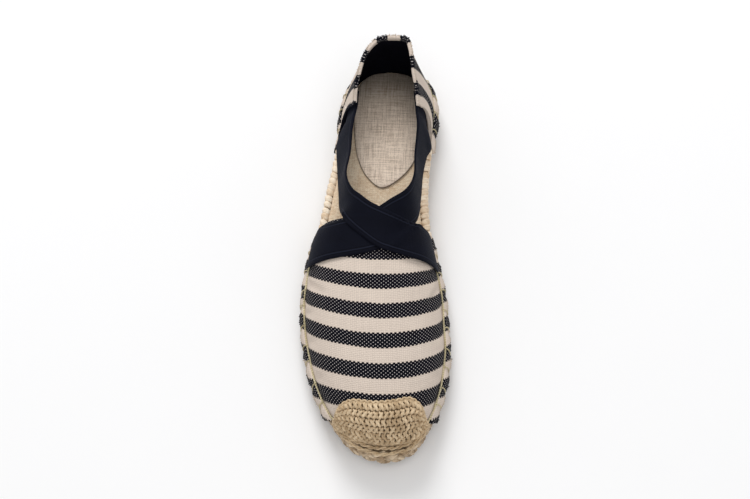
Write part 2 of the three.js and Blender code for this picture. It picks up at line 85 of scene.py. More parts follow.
OUTLINE = columns(
    "s outer inner",
    (3.5, -14.5, 15.5), (13, -24.2, 25.2), (30, -28.8, 29.1), (50, -29.4, 27.6), (70, -31.7, 26.2),
    (90, -34.8, 26.0), (110, -37.6, 28.3), (128, -42.2, 32.4), (148, -44.2, 37.3),
    (168, -43.9, 39.6), (188, -40.6, 41.2), (205, -35.9, 39.7), (222, -28.6, 35.8),
    (236, -20.0, 30.4), (246, -10.2, 23.2),
)
LEVELS = columns(
    "s top under",
    (0, 20.6, 0.9), (10, 20.5, 0), (65, 20.5, 0), (95, 19.8, 1.3), (130, 17.9, 0), (190, 16.8, 0),
    (215, 17.8, 0.6), (235, 19.9, 2.2), (251.5, 21.6, 3.6),
)
RIDGE = columns(
    "s x rise",
    (105, -2.5, 34.5), (120, -1.5, 34.5), (145, 0, 33.5), (170, 1.2, 31.5), (195, 2.8, 28.5),
    (215, 4.4, 24.5), (226, 5.5, 21.5), (250, 7.5, 17),
)
FLANGE_OUTSIDE = columns("inset drop", (-1.9, 7.0), (-1.3, 1.8), (0.5, -1.7))
FLANGE_INSIDE = columns("inset drop", (-0.35, 7.0), (-0.25, 2.6), (1.5, -0.3))
COLLAR = columns(
    "s x z",
    (43.6, -19.3, 50), (35.5, -18.8, 56), (28.5, -17.2, 60), (21, -15.1, 63.5), (13.8, -11.6, 66),
    (7.6, -5.2, 67), (6.0, 3.3, 67), (7.4, 12.0, 67), (13.8, 14.8, 66), (21.5, 16.2, 63.5),
    (28.6, 17.6, 60), (34.4, 19.0, 56), (43.1, 20.4, 50),
)
CAP_EDGE = columns(
    "s x",
    (233, -27), (232.2, -21.5), (227.2, -17), (225.3, -11.5), (226.8, 2.5), (225.4, 13),
    (222.8, 22), (225.3, 27.2), (231.8, 31.2), (233, 37),
)
PAD = columns(
    "s outer inner",
    (8, -12, 12.5), (16, -18.6, 18.5), (32, -20.5, 20), (50, -19.5, 20), (66, -16.5, 17.5),
    (78, -10.5, 9.5),
)
PAD_HEEL = (5.8, 0.8)
PAD_TIP = (84.7, -1.5)

# Elastic bands, as their rear and front edges: inside the quarter (turn, rise), free in the
# air (s, x, z) or on the vamp (side, s, u), with u = 1 at the vamp's foot
OUTER_BAND = [
    (("turn", 0.09, 0.95), ("turn", 0.09, 0.16), 0),
    (("turn", 0.0, 0.95), ("turn", 0.0, 0.19), 0),
    (("air", 48.5, -17.4, 49.3), ("air", 57.5, -29.6, 24.5), 0),
    (("air", 54, -18.4, 49), ("air", 63.5, -29.4, 26), 0),
    (("air", 74, -19.0, 50.5), ("air", 79, -27.8, 27.5), 0),
    (("air", 91, -20.4, 53.5), ("air", 95, -25.8, 31.5), 0.6),
    (("air", 101.5, -16.4, 56.5), ("air", 109, -24.0, 39), 1.2),
    (("air", 107.5, -10.5, 58.8), ("outer", 121, 0.46), 1.25),
    (("air", 112.5, -4.5, 60), ("outer", 130.5, 0.22), 1.25),
    (("air", 116, 3.5, 58.5), ("inner", 138.5, 0.05), 1.25),
    (("inner", 118.5, 0.42), ("inner", 141, 0.38), 1.25),
    (("inner", 118.5, 0.74), ("inner", 141, 0.72), 1.2),
    (("inner", 116.5, 0.92), ("inner", 140, 0.91), 0.5),
    (("inner", 115, 0.998), ("inner", 138.5, 0.998), 0),
]
INNER_BAND = [
    (("turn", 0.91, 0.95), ("turn", 0.91, 0.16), 0),
    (("turn", 1.0, 0.95), ("turn", 1.0, 0.16), 0),
    (("air", 48.5, 18.2, 49.3), ("air", 58, 27.2, 23.1), 0),
    (("air", 54, 19, 49), ("air", 65, 24.8, 25.2), 0),
    (("air", 74, 18.6, 50), ("air", 79, 22.8, 27), 0),
    (("air", 91, 18.6, 52.5), ("air", 95, 22.4, 30.5), 0),
    (("air", 101.5, 14.5, 56), ("inner", 116.5, 0.74), 0),
    (("air", 109, 6.5, 58.5), ("inner", 130, 0.36), 0),
    (("air", 115.5, -3.5, 56.5), ("inner", 139, 0.0), 0),
    (("outer", 118.5, 0.4), ("outer", 142, 0.34), 0),
    (("outer", 118.5, 0.72), ("outer", 142, 0.68), 0),
    (("outer", 116, 0.92), ("outer", 141, 0.9), 0),
    (("outer", 114.5, 0.998), ("outer", 138.5, 0.998), 0),
]

# Canvas: stripe repeat along the cloth, share of it that is navy, where a navy stripe starts,
# and how far stripes lag towards the sides, per square millimetre from the ridge
STRIPE = 17.1
STRIPE_NAVY = 0.52
STRIPE_START = 152.8
STRIPE_LAG = {"outer": 0.0073, "inner": 0.0092}
QUARTER_STRIPE_TURN = 0.155
QUARTER_STRIPE_START = 0.4


# ---------------------------------------------------------------- curves and the last


def smooth(t):
    t = np.clip(t, 0, 1)
    return t * t * (3 - 2 * t)


def lerp(a, b, t):
    return a + (b - a) * t


def unit(vectors):
    return vectors / np.maximum(np.linalg.norm(vectors, axis=-1, keepdims=True), 1e-9)


def raised(plan, z):
    """Plan points with their heights."""
    return np.concatenate([plan, z[..., None]], -1)


def table_value(table, column, s):
    """A table's column at s, by a monotone cubic through its rows."""
    places, values = table["s"], table[column]
    s = np.clip(s, places[0], places[-1])
    width = np.diff(places)
    rate = np.diff(values) / width
    product = rate[:-1] * rate[1:]
    total = np.where(product > 0, rate[:-1] + rate[1:], 1)
    middle = np.where(product > 0, 2 * product / total, 0)
    slope = np.concatenate([rate[:1], middle, rate[-1:]])
    i = np.clip(np.searchsorted(places, s) - 1, 0, len(width) - 1)
    t = (s - places[i]) / width[i]
    return (
        values[i] * (2 * t**3 - 3 * t**2 + 1)
        + slope[i] * width[i] * (t**3 - 2 * t**2 + t)
        + values[i + 1] * (3 * t**2 - 2 * t**3)
        + slope[i + 1] * width[i] * (t**3 - t**2)
    )


def sole_top(s):
    return table_value(LEVELS, "top", s)


def sole_under(s):
    return table_value(LEVELS, "under", s)


class Spline:
    """A centripetal Catmull-Rom curve through points, evaluated at shares from 0 to 1."""

    def __init__(self, points, closed=False):
        points = np.array(points, float)
        self.closed = closed
        if closed:
            self.padded = np.concatenate([points[-1:], points, points[:2]])
        else:
            first = 2 * points[0] - points[1]
            last = 2 * points[-1] - points[-2]
            self.padded = np.concatenate([[first], points, [last]])
        self.spans = len(self.padded) - 3

    def at(self, share, derivative=False):
        share = np.asarray(share, float)
        share = share % 1.0 if self.closed else np.clip(share, 0, 1)
        place = share * self.spans
        i = np.minimum(place.astype(int), self.spans - 1)
        t = (place - i)[..., None]
        p0, p1, p2, p3 = (self.padded[i + k] for k in range(4))
        d0, d1, d2 = (
            np.sqrt(np.linalg.norm(b - a, axis=-1, keepdims=True)) for a, b in ((p0, p1), (p1, p2), (p2, p3))
        )
        t1 = ((p1 - p0) / d0 - (p2 - p0) / (d0 + d1) + (p2 - p1) / d1) * d1
        t2 = ((p2 - p1) / d1 - (p3 - p1) / (d1 + d2) + (p3 - p2) / d2) * d1
        square = -3 * p1 + 3 * p2 - 2 * t1 - t2
        cube = 2 * p1 - 2 * p2 + t1 + t2
        if derivative:
            return (t1 + 2 * square * t + 3 * cube * t**2) * self.spans
        return p1 + t1 * t + square * t**2 + cube * t**3

    def even(self, share, samples=600):
        """The shares that lie at even steps of the curve's length."""
        t = np.linspace(0, 1, samples + 1)
        length = lengths(self.at(t))
        return np.interp(share, length / length[-1], t)


def lengths(points):
    """Distance along a line of points, from its start."""
    steps = np.linalg.norm(np.diff(points, axis=0), axis=-1)
    return np.concatenate([np.zeros((1, *steps.shape[1:])), np.cumsum(steps, axis=0)])


def lengths_across(grid):
    """Distance along each row of a grid, from its first point."""
    return lengths(grid.swapaxes(0, 1)).swapaxes(0, 1)


def round_curve(table, heel, toe):
    """Closed curve in plan: heel tip, down the outer side, toe tip, back up the inner side."""
    outer = np.stack([table["s"], table["outer"]], 1)
    inner = np.stack([table["s"], table["inner"]], 1)[::-1]
    return Spline(np.concatenate([[heel], outer, [toe], inner]), closed=True)


def inset_point(curve, around, inset):
    """s and x of a plan curve moved inwards."""
    point = curve.at(around)
    along = unit(curve.at(around, derivative=True))
    return point[..., 0] - along[..., 1] * inset, point[..., 1] + along[..., 0] * inset


OUTLINE_CURVE = round_curve(OUTLINE, (0, HEEL_TIP_X), (LENGTH, TOE_TIP_X))
OUTLINE_LENGTH = lengths(OUTLINE_CURVE.at(np.linspace(0, 1, 2001)))[-1]


def toe_share(s):
    """0 behind the toe, rising to 1 at its tip."""
    return np.maximum(0, (s - TOE_SETBACK_FROM) / (LENGTH - TOE_SETBACK_FROM)) ** 2


def setback(around):
    """How far the upper's foot keeps back from the sole's edge at places round the outline."""
    return TOE_SETBACK * toe_share(OUTLINE_CURVE.at(around)[..., 0])


def foot_point(around, grow):
    """Foot of the upper's outer face, or of the form grown by grow."""
    return inset_point(OUTLINE_CURVE, around, FOOT_INSET + setback(around) - grow)


def feet_of(side, grow):
    """Stations, sideways places and places round the outline of one side's foot line."""
    share = np.linspace(0, 0.5, 481)
    around = share if side == "outer" else 1 - share
    return (*foot_point(around, grow), around)


def foot_at(side, s, grow):
    """Sideways place of the foot line at station s, and its place round the outline."""
    places, x, around = feet_of(side, grow)
    return np.interp(s, places, x), np.interp(s, places, around)


def form_height(s, u, grow):
    """Height of the form over the sole at station s; u is 0 on the ridge and 1 at the foot."""
    fall = np.maximum(0, 1 - np.abs(u) ** SIDE_POWER)
    return (table_value(RIDGE, "rise", s) + grow) * fall ** (1 / TOP_POWER)


def vamp_point(side, s, u, grow):
    """Point on the vamp's form behind the ridge's end."""
    s, u = np.broadcast_arrays(np.asarray(s, float), np.asarray(u, float))
    x = lerp(table_value(RIDGE, "x", s), foot_at(side, s, grow)[0], u)
    return np.stack([s, x, sole_top(s) + GAP + form_height(s, u, grow)], -1)


def toe_point(around, u, grow):
    """Point on the toe's form: rays from the ridge's end to the foot line."""
    foot_s, foot_x = foot_point(around, grow)
    s = lerp(RIDGE_END, foot_s, u)
    x = lerp(table_value(RIDGE, "x", RIDGE_END), foot_x, u)
    floor = lerp(sole_top(RIDGE_END), sole_top(foot_s), u)
    return np.stack([s, x, floor + GAP + form_height(s, u, grow)], -1)


def form_z(s, x, grow):
    """Height of the form over any place in plan, down to the sole's top outside it."""
    ridge = table_value(RIDGE, "x", s)
    foot = np.where(x < ridge, foot_at("outer", s, grow)[0], foot_at("inner", s, grow)[0])
    u = np.clip((x - ridge) / (foot - ridge), 0, 1)
    behind = sole_top(s) + GAP + form_height(s, u, grow)
    around = np.linspace(0.35, 0.65, 301)
    foot_s, foot_x = foot_point(around, grow)
    centre_x = table_value(RIDGE, "x", RIDGE_END)
    angles = np.arctan2(foot_x - centre_x, foot_s - RIDGE_END)
    reach = np.hypot(foot_x - centre_x, foot_s - RIDGE_END)
    angle = np.arctan2(x - centre_x, s - RIDGE_END)
    u = np.clip(np.hypot(x - centre_x, s - RIDGE_END) / np.interp(angle, angles, reach), 0, 1)
    edge_s = lerp(RIDGE_END, s, 1 / np.maximum(u, 1e-3))
    floor = lerp(sole_top(RIDGE_END), sole_top(edge_s), u)
    ahead = floor + GAP + form_height(s, u, grow)
    return np.where(s > RIDGE_END, ahead, behind)


COLLAR_CURVE = Spline(np.stack([COLLAR["s"], COLLAR["x"], COLLAR["z"]], 1))


def quarter_around(turn):
    """Place round the outline for a turn from the quarter's outer front edge, 0, to its inner, 1."""
    start = foot_at("outer", QUARTER_FRONT["outer"], 0)[1]
    end = foot_at("inner", QUARTER_FRONT["inner"], 0)[1] - 1
    return lerp(start, end, turn)


def quarter_point(turn_at_foot, rise, depth):
    """Point of the heel quarter: turn round it, rise from foot to collar, depth inwards."""
    turn_at_foot, rise = np.broadcast_arrays(np.asarray(turn_at_foot, float), np.asarray(rise, float))
    turn = 0.5 + (turn_at_foot - 0.5) * (1 - 2 * QUARTER_CUTBACK * np.sin(np.pi * rise))
    back = np.sin(np.pi * turn)
    flare = lerp(QUARTER_FLARE["front"], QUARTER_FLARE["back"], back)
    bulge = lerp(QUARTER_BULGE["front"], QUARTER_BULGE["back"], back)
    s, x = foot_point(quarter_around(turn), -depth)
    share = COLLAR_CURVE.even(turn)
    collar = COLLAR_CURVE.at(share)
    along = COLLAR_CURVE.at(share, derivative=True)
    inwards = unit(np.stack([along[..., 1], -along[..., 0]], -1))
    low = np.stack([s, x], -1)
    plan = lerp(low, collar[..., :2] + inwards * depth, (1 - (1 - rise) ** flare)[..., None])
    plan = plan - inwards * (bulge * np.sin(np.pi * np.sqrt(rise)))[..., None]
    return raised(plan, lerp(sole_top(s) + GAP, collar[..., 2], rise))


# ---------------------------------------------------------------- the part's frame

SOLE_LOW, SOLE_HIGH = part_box("sole")
MM = 0.001
FORWARD = np.array([1.0, 0, 0])
UP = np.array([0, 0, 1.0])
SHIFT_X = SOLE_LOW.x / MM - OUTLINE_CURVE.at(np.arange(96) / 96)[:, 1].min()
HEEL_Y = SOLE_HIGH.y / MM


def to_part(points):
    """From s, x, z in millimetres to the part's frame in metres."""
    points = np.asarray(points, float)
    placed = np.stack([points[..., 1] + SHIFT_X, HEEL_Y - points[..., 0], points[..., 2]], -1)
    return placed * MM


# ---------------------------------------------------------------- meshes


def grid_faces(rows, wide, start=0, closed=False):
    """Quads of a grid of vertices numbered row by row from start; closed joins last to first column."""
    index = start + np.arange(rows * wide).reshape(rows, wide)
    if closed:
        index = np.concatenate([index, index[:, :1]], 1)
    a, b = index[:-1], index[1:]
    return np.stack([a[:, :-1], b[:, :-1], b[:, 1:], a[:, 1:]], -1).reshape(-1, 4)


def weld(points, faces, grain=1e-3):
    """Joins vertices that share a place; returns kept indices, faces and which faces stay."""
    keys = np.round(points / grain).astype(np.int64)
    _, first, inverse = np.unique(keys, axis=0, return_index=True, return_inverse=True)
    inverse = inverse.reshape(-1)
    welded, kept = [], []
    for number, face in enumerate(inverse[np.asarray(faces)].tolist()):
        corners = [c for k, c in enumerate(face) if c != face[k - 1]]
        if len(set(corners)) > 2 and len(set(corners)) == len(corners):
            welded.append(corners)
            kept.append(number)
    return first, welded, kept


def signed_volume(points, faces):
    """Six times the volume inside the faces, negative where they point inwards."""
    total = 0.0
    for k in (1, 2):
        triangles = np.array([(f[0], f[k], f[k + 1]) for f in faces if len(f) > k + 1])
        if len(triangles):
            a, b, c = (points[triangles[:, i]] for i in range(3))
            total += np.einsum("ij,ij->i", a, np.cross(b, c)).sum()
    return total


def add_piece(name, points, faces, materials, node=None, fields=None, pick=None, join=True):
    """A mesh piece from places in s, x, z. fields are numbers per vertex, pick a material per face."""
    points = np.asarray(points, float).reshape(-1, 3)
    faces = np.asarray(faces)
    fields = {key: np.asarray(value, float).reshape(-1) for key, value in (fields or {}).items()}
    if join:
        first, faces, kept = weld(points, faces)
        points = points[first]
        fields = {key: value[first] for key, value in fields.items()}
        pick = None if pick is None else np.asarray(pick)[kept]
    else:
        faces = faces.tolist()
    placed = to_part(points)
    if signed_volume(placed, faces) < 0:
        faces = [f[::-1] for f in faces]
    mesh = bpy.data.meshes.new(name)
    mesh.from_pydata(placed.tolist(), [], faces)
    mesh.polygons.foreach_set("use_smooth", np.ones(len(faces), bool))
    for key, value in fields.items():
        mesh.attributes.new(key, "FLOAT", "POINT").data.foreach_set("value", value.astype(np.float32))
    for material in materials:
        mesh.materials.append(material)
    if pick is not None:
        mesh.polygons.foreach_set("material_index", np.asarray(pick, np.int32))
    mesh.update()
    piece = bpy.data.objects.new(name, mesh)
    bpy.context.scene.collection.objects.link(piece)
    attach(piece, "root")
    if node:
        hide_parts(node)
    return piece


def shell(outside, inside, outer_fields, inner_fields=None, last_column=True):
    """Skin between two equal grids: points, faces, fields and a part number per face.

    The skin is closed all round; without last_column it is left open there, for a join.
    """
    rows, wide = outside.shape[:2]
    count = rows * wide
    points = np.concatenate([outside.reshape(-1, 3), inside.reshape(-1, 3)])
    front = grid_faces(rows, wide)
    back = grid_faces(rows, wide, count)[:, ::-1]
    index = np.arange(count).reshape(rows, wide)
    edge = np.concatenate([index[0], index[1:, -1], index[-1, -2::-1], index[-2:0:-1, 0]])
    after = np.roll(edge, -1)
    rim = np.stack([edge, after, after + count, edge + count], 1)
    if not last_column:
        rim = rim[~np.isin(rim[:, :2], index[:, -1]).all(1)]
    fields = {}
    for key, value in outer_fields.items():
        other = (inner_fields or outer_fields)[key]
        fields[key] = np.concatenate([np.ravel(value), np.ravel(other)])
    part = np.concatenate([np.zeros(len(front)), np.full(len(back), 1), np.full(len(rim), 2)])
    return points, np.concatenate([front, back, rim]), fields, part


def slab(plan, under, top, fields, other_fields=None):
    """Closed skin between two heights over a plan grid."""
    return shell(raised(plan, top), raised(plan, under), fields, other_fields)[:3]


def frames(path, up):
    """Side and normal directions along a line of points, or along many lines at once."""
    along = unit(np.gradient(path, axis=-2))
    side = unit(np.cross(along, np.broadcast_to(up, path.shape)))
    return side, np.cross(side, along)


def tubes(paths, radius, up, sides=6, taper=0.45, tone=None, flatten=1.0):
    """Closed round tubes along many lines of equally many points: points, faces and fields."""
    paths = np.asarray(paths, float)
    count, steps = paths.shape[:2]
    side, normal = frames(paths, up)
    turn = np.arange(sides) / sides
    size = np.ones(steps)
    size[0] = size[-1] = taper
    radius = np.broadcast_to(np.asarray(radius, float).reshape(-1, 1), (count, steps)) * size
    ring = (
        side[:, :, None] * np.cos(2 * np.pi * turn)[:, None]
        + normal[:, :, None] * flatten * np.sin(2 * np.pi * turn)[:, None]
    )
    points = paths[:, :, None] + ring * radius[..., None, None]
    one = grid_faces(steps, sides, closed=True)
    pairs = [(i, (i + 1) % sides, sides - 2 - i, sides - 1 - i) for i in range(sides // 2 - 1)]
    start = np.array(pairs)
    end = start[:, ::-1] + (steps - 1) * sides
    one = np.concatenate([one, start, end])
    faces = (one[None] + (np.arange(count) * steps * sides)[:, None, None]).reshape(-1, 4)
    run = lengths_across(paths)
    tone = rng.random(count) if tone is None else np.broadcast_to(tone, (count,))
    shape = (count, steps, sides)
    fields = {
        "along": np.broadcast_to(run[..., None], shape),
        "turn": np.broadcast_to(turn, shape),
        "tone": np.broadcast_to(tone[:, None, None], shape),
    }
    return points.reshape(-1, 3), faces, {key: value.reshape(-1) for key, value in fields.items()}


def gather(*parts):
    """Joins several (points, faces, fields) into one."""
    points, faces, fields = [], [], {}
    start = 0
    for part_points, part_faces, part_fields in parts:
        points.append(part_points)
        faces.append(part_faces + start)
        start += len(part_points)
        for key, value in part_fields.items():
            fields.setdefault(key, []).append(value)
    return np.concatenate(points), np.concatenate(faces), {k: np.concatenate(v) for k, v in fields.items()}


def across_grid(curve, inset, stations, wide):
    """Plan grid inside a closed curve: straight lines from its outer side to its inner side."""
    share = 0.5 * smooth_ends(np.linspace(0, 1, stations))
    outer = np.stack(inset_point(curve, share, inset), -1)
    inner = np.stack(inset_point(curve, 1 - share, inset), -1)
    v = np.linspace(0, 1, wide)[None, :, None]
    return lerp(outer[:, None], inner[:, None], v)


def smooth_ends(t):
    """Even steps that close up a little towards both ends."""
    return t - 0.11 * np.sin(2 * np.pi * t)


def nearest(line, plan):
    """Distance in plan from each place to the nearest of some points, and which point that is."""
    away, index = [], []
    for chunk in np.array_split(plan.reshape(-1, 2), 40):
        distance = np.linalg.norm(line[None] - chunk[:, None], axis=-1)
        away.append(distance.min(1))
        index.append(distance.argmin(1))
    shape = plan.shape[:-1]
    return np.concatenate(away).reshape(shape), np.concatenate(index).reshape(shape)


def distance_to(curve, plan):
    """Distance in plan from each place to a closed curve."""
    return nearest(curve.at(np.linspace(0, 1, 721)), plan)[0]


# ---------------------------------------------------------------- shader arithmetic


def operation(name):
    """A Field method that adds one arithmetic node."""
    return lambda self, *others: self.surface.math(name, self, *others)


class Field:
    """A number that varies over a surface: the output of a shader node, usable in sums."""

    def __init__(self, surface, socket):
        self.surface, self.socket = surface, socket

    __add__ = __radd__ = operation("ADD")
    __sub__ = operation("SUBTRACT")
    __mul__ = __rmul__ = operation("MULTIPLY")
    __truediv__ = operation("DIVIDE")
    cos = operation("COSINE")
    sin = operation("SINE")
    abs = operation("ABSOLUTE")
    share = operation("FRACT")
    min = operation("MINIMUM")

    def __rsub__(self, other):
        return self.surface.math("SUBTRACT", other, self)

    def step(self, low, high):
        """0 below low, 1 above high, smooth in between."""
        node = self.surface.node("ShaderNodeMapRange", interpolation_type="SMOOTHSTEP")
        self.surface.feed(node.inputs["Value"], self)
        node.inputs["From Min"].default_value = low
        node.inputs["From Max"].default_value = high
        return Field(self.surface, node.outputs["Result"])


class Surface:
    """A principled material that is being wired up."""

    def __init__(self, name, roughness=0.85, specular=0.3, sheen=0.0, sheen_tint=(1, 1, 1)):
        self.material = bpy.data.materials.new(name)
        self.material.use_nodes = True
        self.tree = self.material.node_tree
        self.shader = self.tree.nodes["Principled BSDF"]
        self.shader.inputs["Roughness"].default_value = roughness
        self.shader.inputs["Specular IOR Level"].default_value = specular
        self.shader.inputs["Sheen Weight"].default_value = sheen
        self.shader.inputs["Sheen Roughness"].default_value = 0.5
        self.shader.inputs["Sheen Tint"].default_value = (*sheen_tint, 1)

    def node(self, kind, **settings):
        node = self.tree.nodes.new(kind)
        for name, value in settings.items():
            setattr(node, name, value)
        return node

    def feed(self, socket, value):
        if isinstance(value, Field):
            self.tree.links.new(value.socket, socket)
        elif isinstance(value, tuple):
            socket.default_value = (*value, 1)
        else:
            socket.default_value = value

    def math(self, name, *values):
        node = self.node("ShaderNodeMath", operation=name)
        for socket, value in zip(node.inputs, values):
            self.feed(socket, value)
        return Field(self, node.outputs[0])

    def field(self, name):
        """A number kept on the mesh's vertices."""
        return Field(self, self.node("ShaderNodeAttribute", attribute_name=name).outputs["Fac"])

    def place(self):
        """The surface point in millimetres, as three fields."""
        coordinates = self.node("ShaderNodeTexCoord")
        split = self.node("ShaderNodeSeparateXYZ")
        self.tree.links.new(coordinates.outputs["Object"], split.inputs[0])
        return [Field(self, output) * 1000 for output in split.outputs]

    def vector(self, x, y, z):
        node = self.node("ShaderNodeCombineXYZ")
        for socket, value in zip(node.inputs, (x, y, z)):
            self.feed(socket, value)
        return node.outputs[0]

    def noise(self, x, y, z=0.0, scale=1.0, detail=2.0):
        """Noise from 0 to 1; scale is in cells for each unit of the coordinates."""
        node = self.node("ShaderNodeTexNoise")
        self.tree.links.new(self.vector(x, y, z), node.inputs["Vector"])
        node.inputs["Scale"].default_value = scale
        node.inputs["Detail"].default_value = detail
        return Field(self, node.outputs["Fac"])

    def mix(self, share, low, high):
        """Colour between two colours."""
        node = self.node("ShaderNodeMix", data_type="RGBA")
        self.feed(node.inputs["Factor"], share)
        self.feed(node.inputs[6], low)
        self.feed(node.inputs[7], high)
        return Field(self, node.outputs[2])

    def shade(self, colour, strength):
        """A colour made darker or lighter by a field around 1."""
        node = self.node("ShaderNodeVectorMath", operation="SCALE")
        self.feed(node.inputs[0], colour)
        self.feed(node.inputs["Scale"], strength)
        return Field(self, node.outputs[0])

    def finish(self, colour, height=None, depth=0.2, roughness=None):
        """Links the colour, the bump (height from 0 to 1, depth in millimetres) and the roughness."""
        self.feed(self.shader.inputs["Base Color"], colour)
        if roughness is not None:
            self.feed(self.shader.inputs["Roughness"], roughness)
        if height is not None:
            bump = self.node("ShaderNodeBump")
            bump.inputs["Distance"].default_value = depth * MM
            self.feed(bump.inputs["Height"], height)
            self.tree.links.new(bump.outputs[0], self.shader.inputs["Normal"])
        return self.material


def srgb(red, green, blue):
    """A colour of 0 to 255 as the linear numbers that shaders take."""
    values = [c / 255 for c in (red, green, blue)]
    return tuple(v / 12.92 if v <= 0.04045 else ((v + 0.055) / 1.055) ** 2.4 for v in values)


# ---------------------------------------------------------------- materials

PAD_SHADOW_FROM = 55  # painted shadow of the heel quarter: the heel pad darkens from here back to the heel
STRIPE_PICKS = 17  # rows of the weave in one stripe repeat
NAVY_PICKS = 9  # and in its navy part
TOOTH = 0.6  # how far the stripe's edge is toothed, in rows
PICK = STRIPE / STRIPE_PICKS
END = 1.25  # width of one column


def canvas_material():
    """Striped canvas: cream cloth, and navy stripes whose pale warp shows as a check of dots."""
    m = Surface("striped_canvas", roughness=0.9, specular=0.05, sheen=0.01)
    along, across = m.field("along"), m.field("across")
    row = along + (m.noise(along, across, scale=0.12) - 0.5) * 0.9
    column = across + (m.noise(across, along, 9.0, scale=0.1) - 0.5) * 0.9
    pick = (row - STRIPE_START) / PICK
    check = ((pick - 0.5) * math.pi).cos() * (column * (math.pi / END)).cos()
    place = (pick / STRIPE_PICKS).share() * STRIPE_PICKS
    # over a column the navy part is whole, between columns it is shorter: a toothed stripe edge
    whole = place.step(0.0, 0.1) * (1 - place.step(NAVY_PICKS, NAVY_PICKS + 0.1))
    core = place.step(TOOTH, TOOTH + 0.1) * (1 - place.step(NAVY_PICKS - TOOTH, NAVY_PICKS - TOOTH + 0.1))
    over = check.step(-0.25, 0.05)
    navy = whole * over + core * (1 - over)
    dots = 1 - check.step(-0.92, -0.6)
    slub = m.noise(row, column * 0.06, 3.0, scale=1.1, detail=3)
    streak = m.noise(row * 0.08, column, 5.0, scale=0.9, detail=3)
    slant = ((row * 1.25 + column) * (math.pi / 1.25)).cos()
    thread = 0.85 + (slub + streak) * 0.15 + slant * 0.025
    cream_gap = 1 - (1 - check.abs().step(0.0, 0.5)) * 0.15
    cream = m.mix(m.noise(along, across, scale=0.04), srgb(228, 213, 199), srgb(220, 205, 192))
    cream = m.shade(cream, thread * cream_gap)
    float_navy = m.mix(slub, srgb(3, 4, 10), srgb(19, 20, 31))
    dotted = m.mix(dots * 0.85, float_navy, srgb(214, 206, 202))
    height = check.abs() * (0.6 + check.step(-0.2, 0.2) * 0.4)
    return m.finish(m.mix(navy, cream, dotted), height, depth=0.22)


def lining_material():
    """Dark navy twill on the inside of the upper."""
    m = Surface("navy_lining", roughness=0.95, specular=0.02, sheen=0.0)
    x, y, z = m.place()
    twill = ((x + y + z * 1.7) * (math.pi / 0.55)).sin()
    weft = ((y - x - z) * (math.pi / 0.8)).sin()
    patch = m.noise(x, y, z, scale=0.25, detail=4)
    colour = m.mix(patch, srgb(8, 8, 13), srgb(20, 20, 29))
    return m.finish(colour, twill * 0.3 + weft * 0.2 + 0.5, depth=0.12)


def elastic_material():
    """Navy elastic: fine ribs along it and a double stitched line inside each edge."""
    m = Surface("navy_elastic", roughness=0.6, specular=0.04, sheen=0.04, sheen_tint=srgb(110, 122, 165))
    along, across, edge = m.field("along"), m.field("across"), m.field("edge")
    rib = (across * (math.pi / 0.42)).cos().abs()
    pick = (along * (math.pi / 0.5)).cos().abs()
    line = 1 - ((edge - 2.1).abs().step(0.12, 0.38)).min((edge - 3.6).abs().step(0.12, 0.38))
    cord = 1 - ((edge - 2.85).abs() / 0.75).step(0.3, 1.0)
    worn = m.noise(along, across, scale=0.09, detail=4)
    grain = m.noise(along * 0.3, across * 2.2, scale=1.0, detail=3)
    base = m.mix(worn, srgb(9, 10, 18), srgb(18, 20, 31))
    base = m.mix(cord * 0.3, base, srgb(46, 50, 66))
    base = m.mix(line * 0.7, base, srgb(6, 6, 11))
    colour = m.shade(base, 0.85 + grain * 0.3)
    height = rib * 0.32 + pick * 0.18 + cord * 0.5 - line * 0.5 + 0.5
    return m.finish(colour, height, depth=0.16, roughness=0.56 + worn * 0.16)


def strand_material(name, dark, light, twist, depth=0.25, gap=0.45):
    """Twisted yarn: slanting plies, fine fibres along them, and a tone of its own for each strand.

    twist is the length of a ply's turn, gap how dark the painted shade in the groove between plies is.
    """
    m = Surface(name, roughness=0.92, specular=0.12, sheen=0.04)
    along, turn, tone = m.field("along"), m.field("turn"), m.field("tone")
    x, y, z = m.place()
    ply = ((along / twist + turn) * (2 * math.pi)).cos()
    fibres = m.noise(along * 0.35 + turn * 3.0, turn * 9.0, tone * 40.0, scale=1.6, detail=4)
    blotch = m.noise(x, y, z, scale=0.11, detail=3)
    shade = (fibres - 0.5) * 1.1 + (tone - 0.5) * 0.5 + (blotch - 0.5) * 0.9 + 0.5
    colour = m.mix(shade.step(0.0, 1.0), srgb(*dark), srgb(*light))
    # Painted shade in the grooves between the plies.
    groove = 1 - (1 - ply.step(-1.0, -0.35)) * gap
    return m.finish(m.shade(colour, groove), ply * 0.5 + fibres * 0.5 + 0.3, depth=depth)


def core_material():
    """Jute behind the braid and under the sole: coils of braid lying side by side, with painted shade
    between the loops and in the recess behind the braid.
    """
    m = Surface("jute_core", roughness=0.95, specular=0.1)
    x, y, z = m.place()
    coil, run = m.field("coil"), m.field("run")
    loop = ((run / 4.5 + (coil.share() - 0.5).abs() * 1.3) * math.pi).cos().abs()
    fibres = m.noise(x * 1.4, y * 0.5, z, scale=1.3, detail=4)
    patch = m.noise(x, y, z, scale=0.08, detail=3)
    colour = m.mix(fibres * 0.7 + patch * 0.3, srgb(132, 108, 80), srgb(196, 172, 140))
    # Painted shade: darker in the hollows between the loops, and much darker on the core's outer ring, which
    # lies in the recess behind the braid.
    shade = (0.55 + loop.step(0.05, 0.5) * 0.45) * (0.4 + coil.step(0.4, 0.75) * 0.6)
    return m.finish(m.shade(colour, shade), loop * 0.7 + fibres * 0.3, depth=0.9)


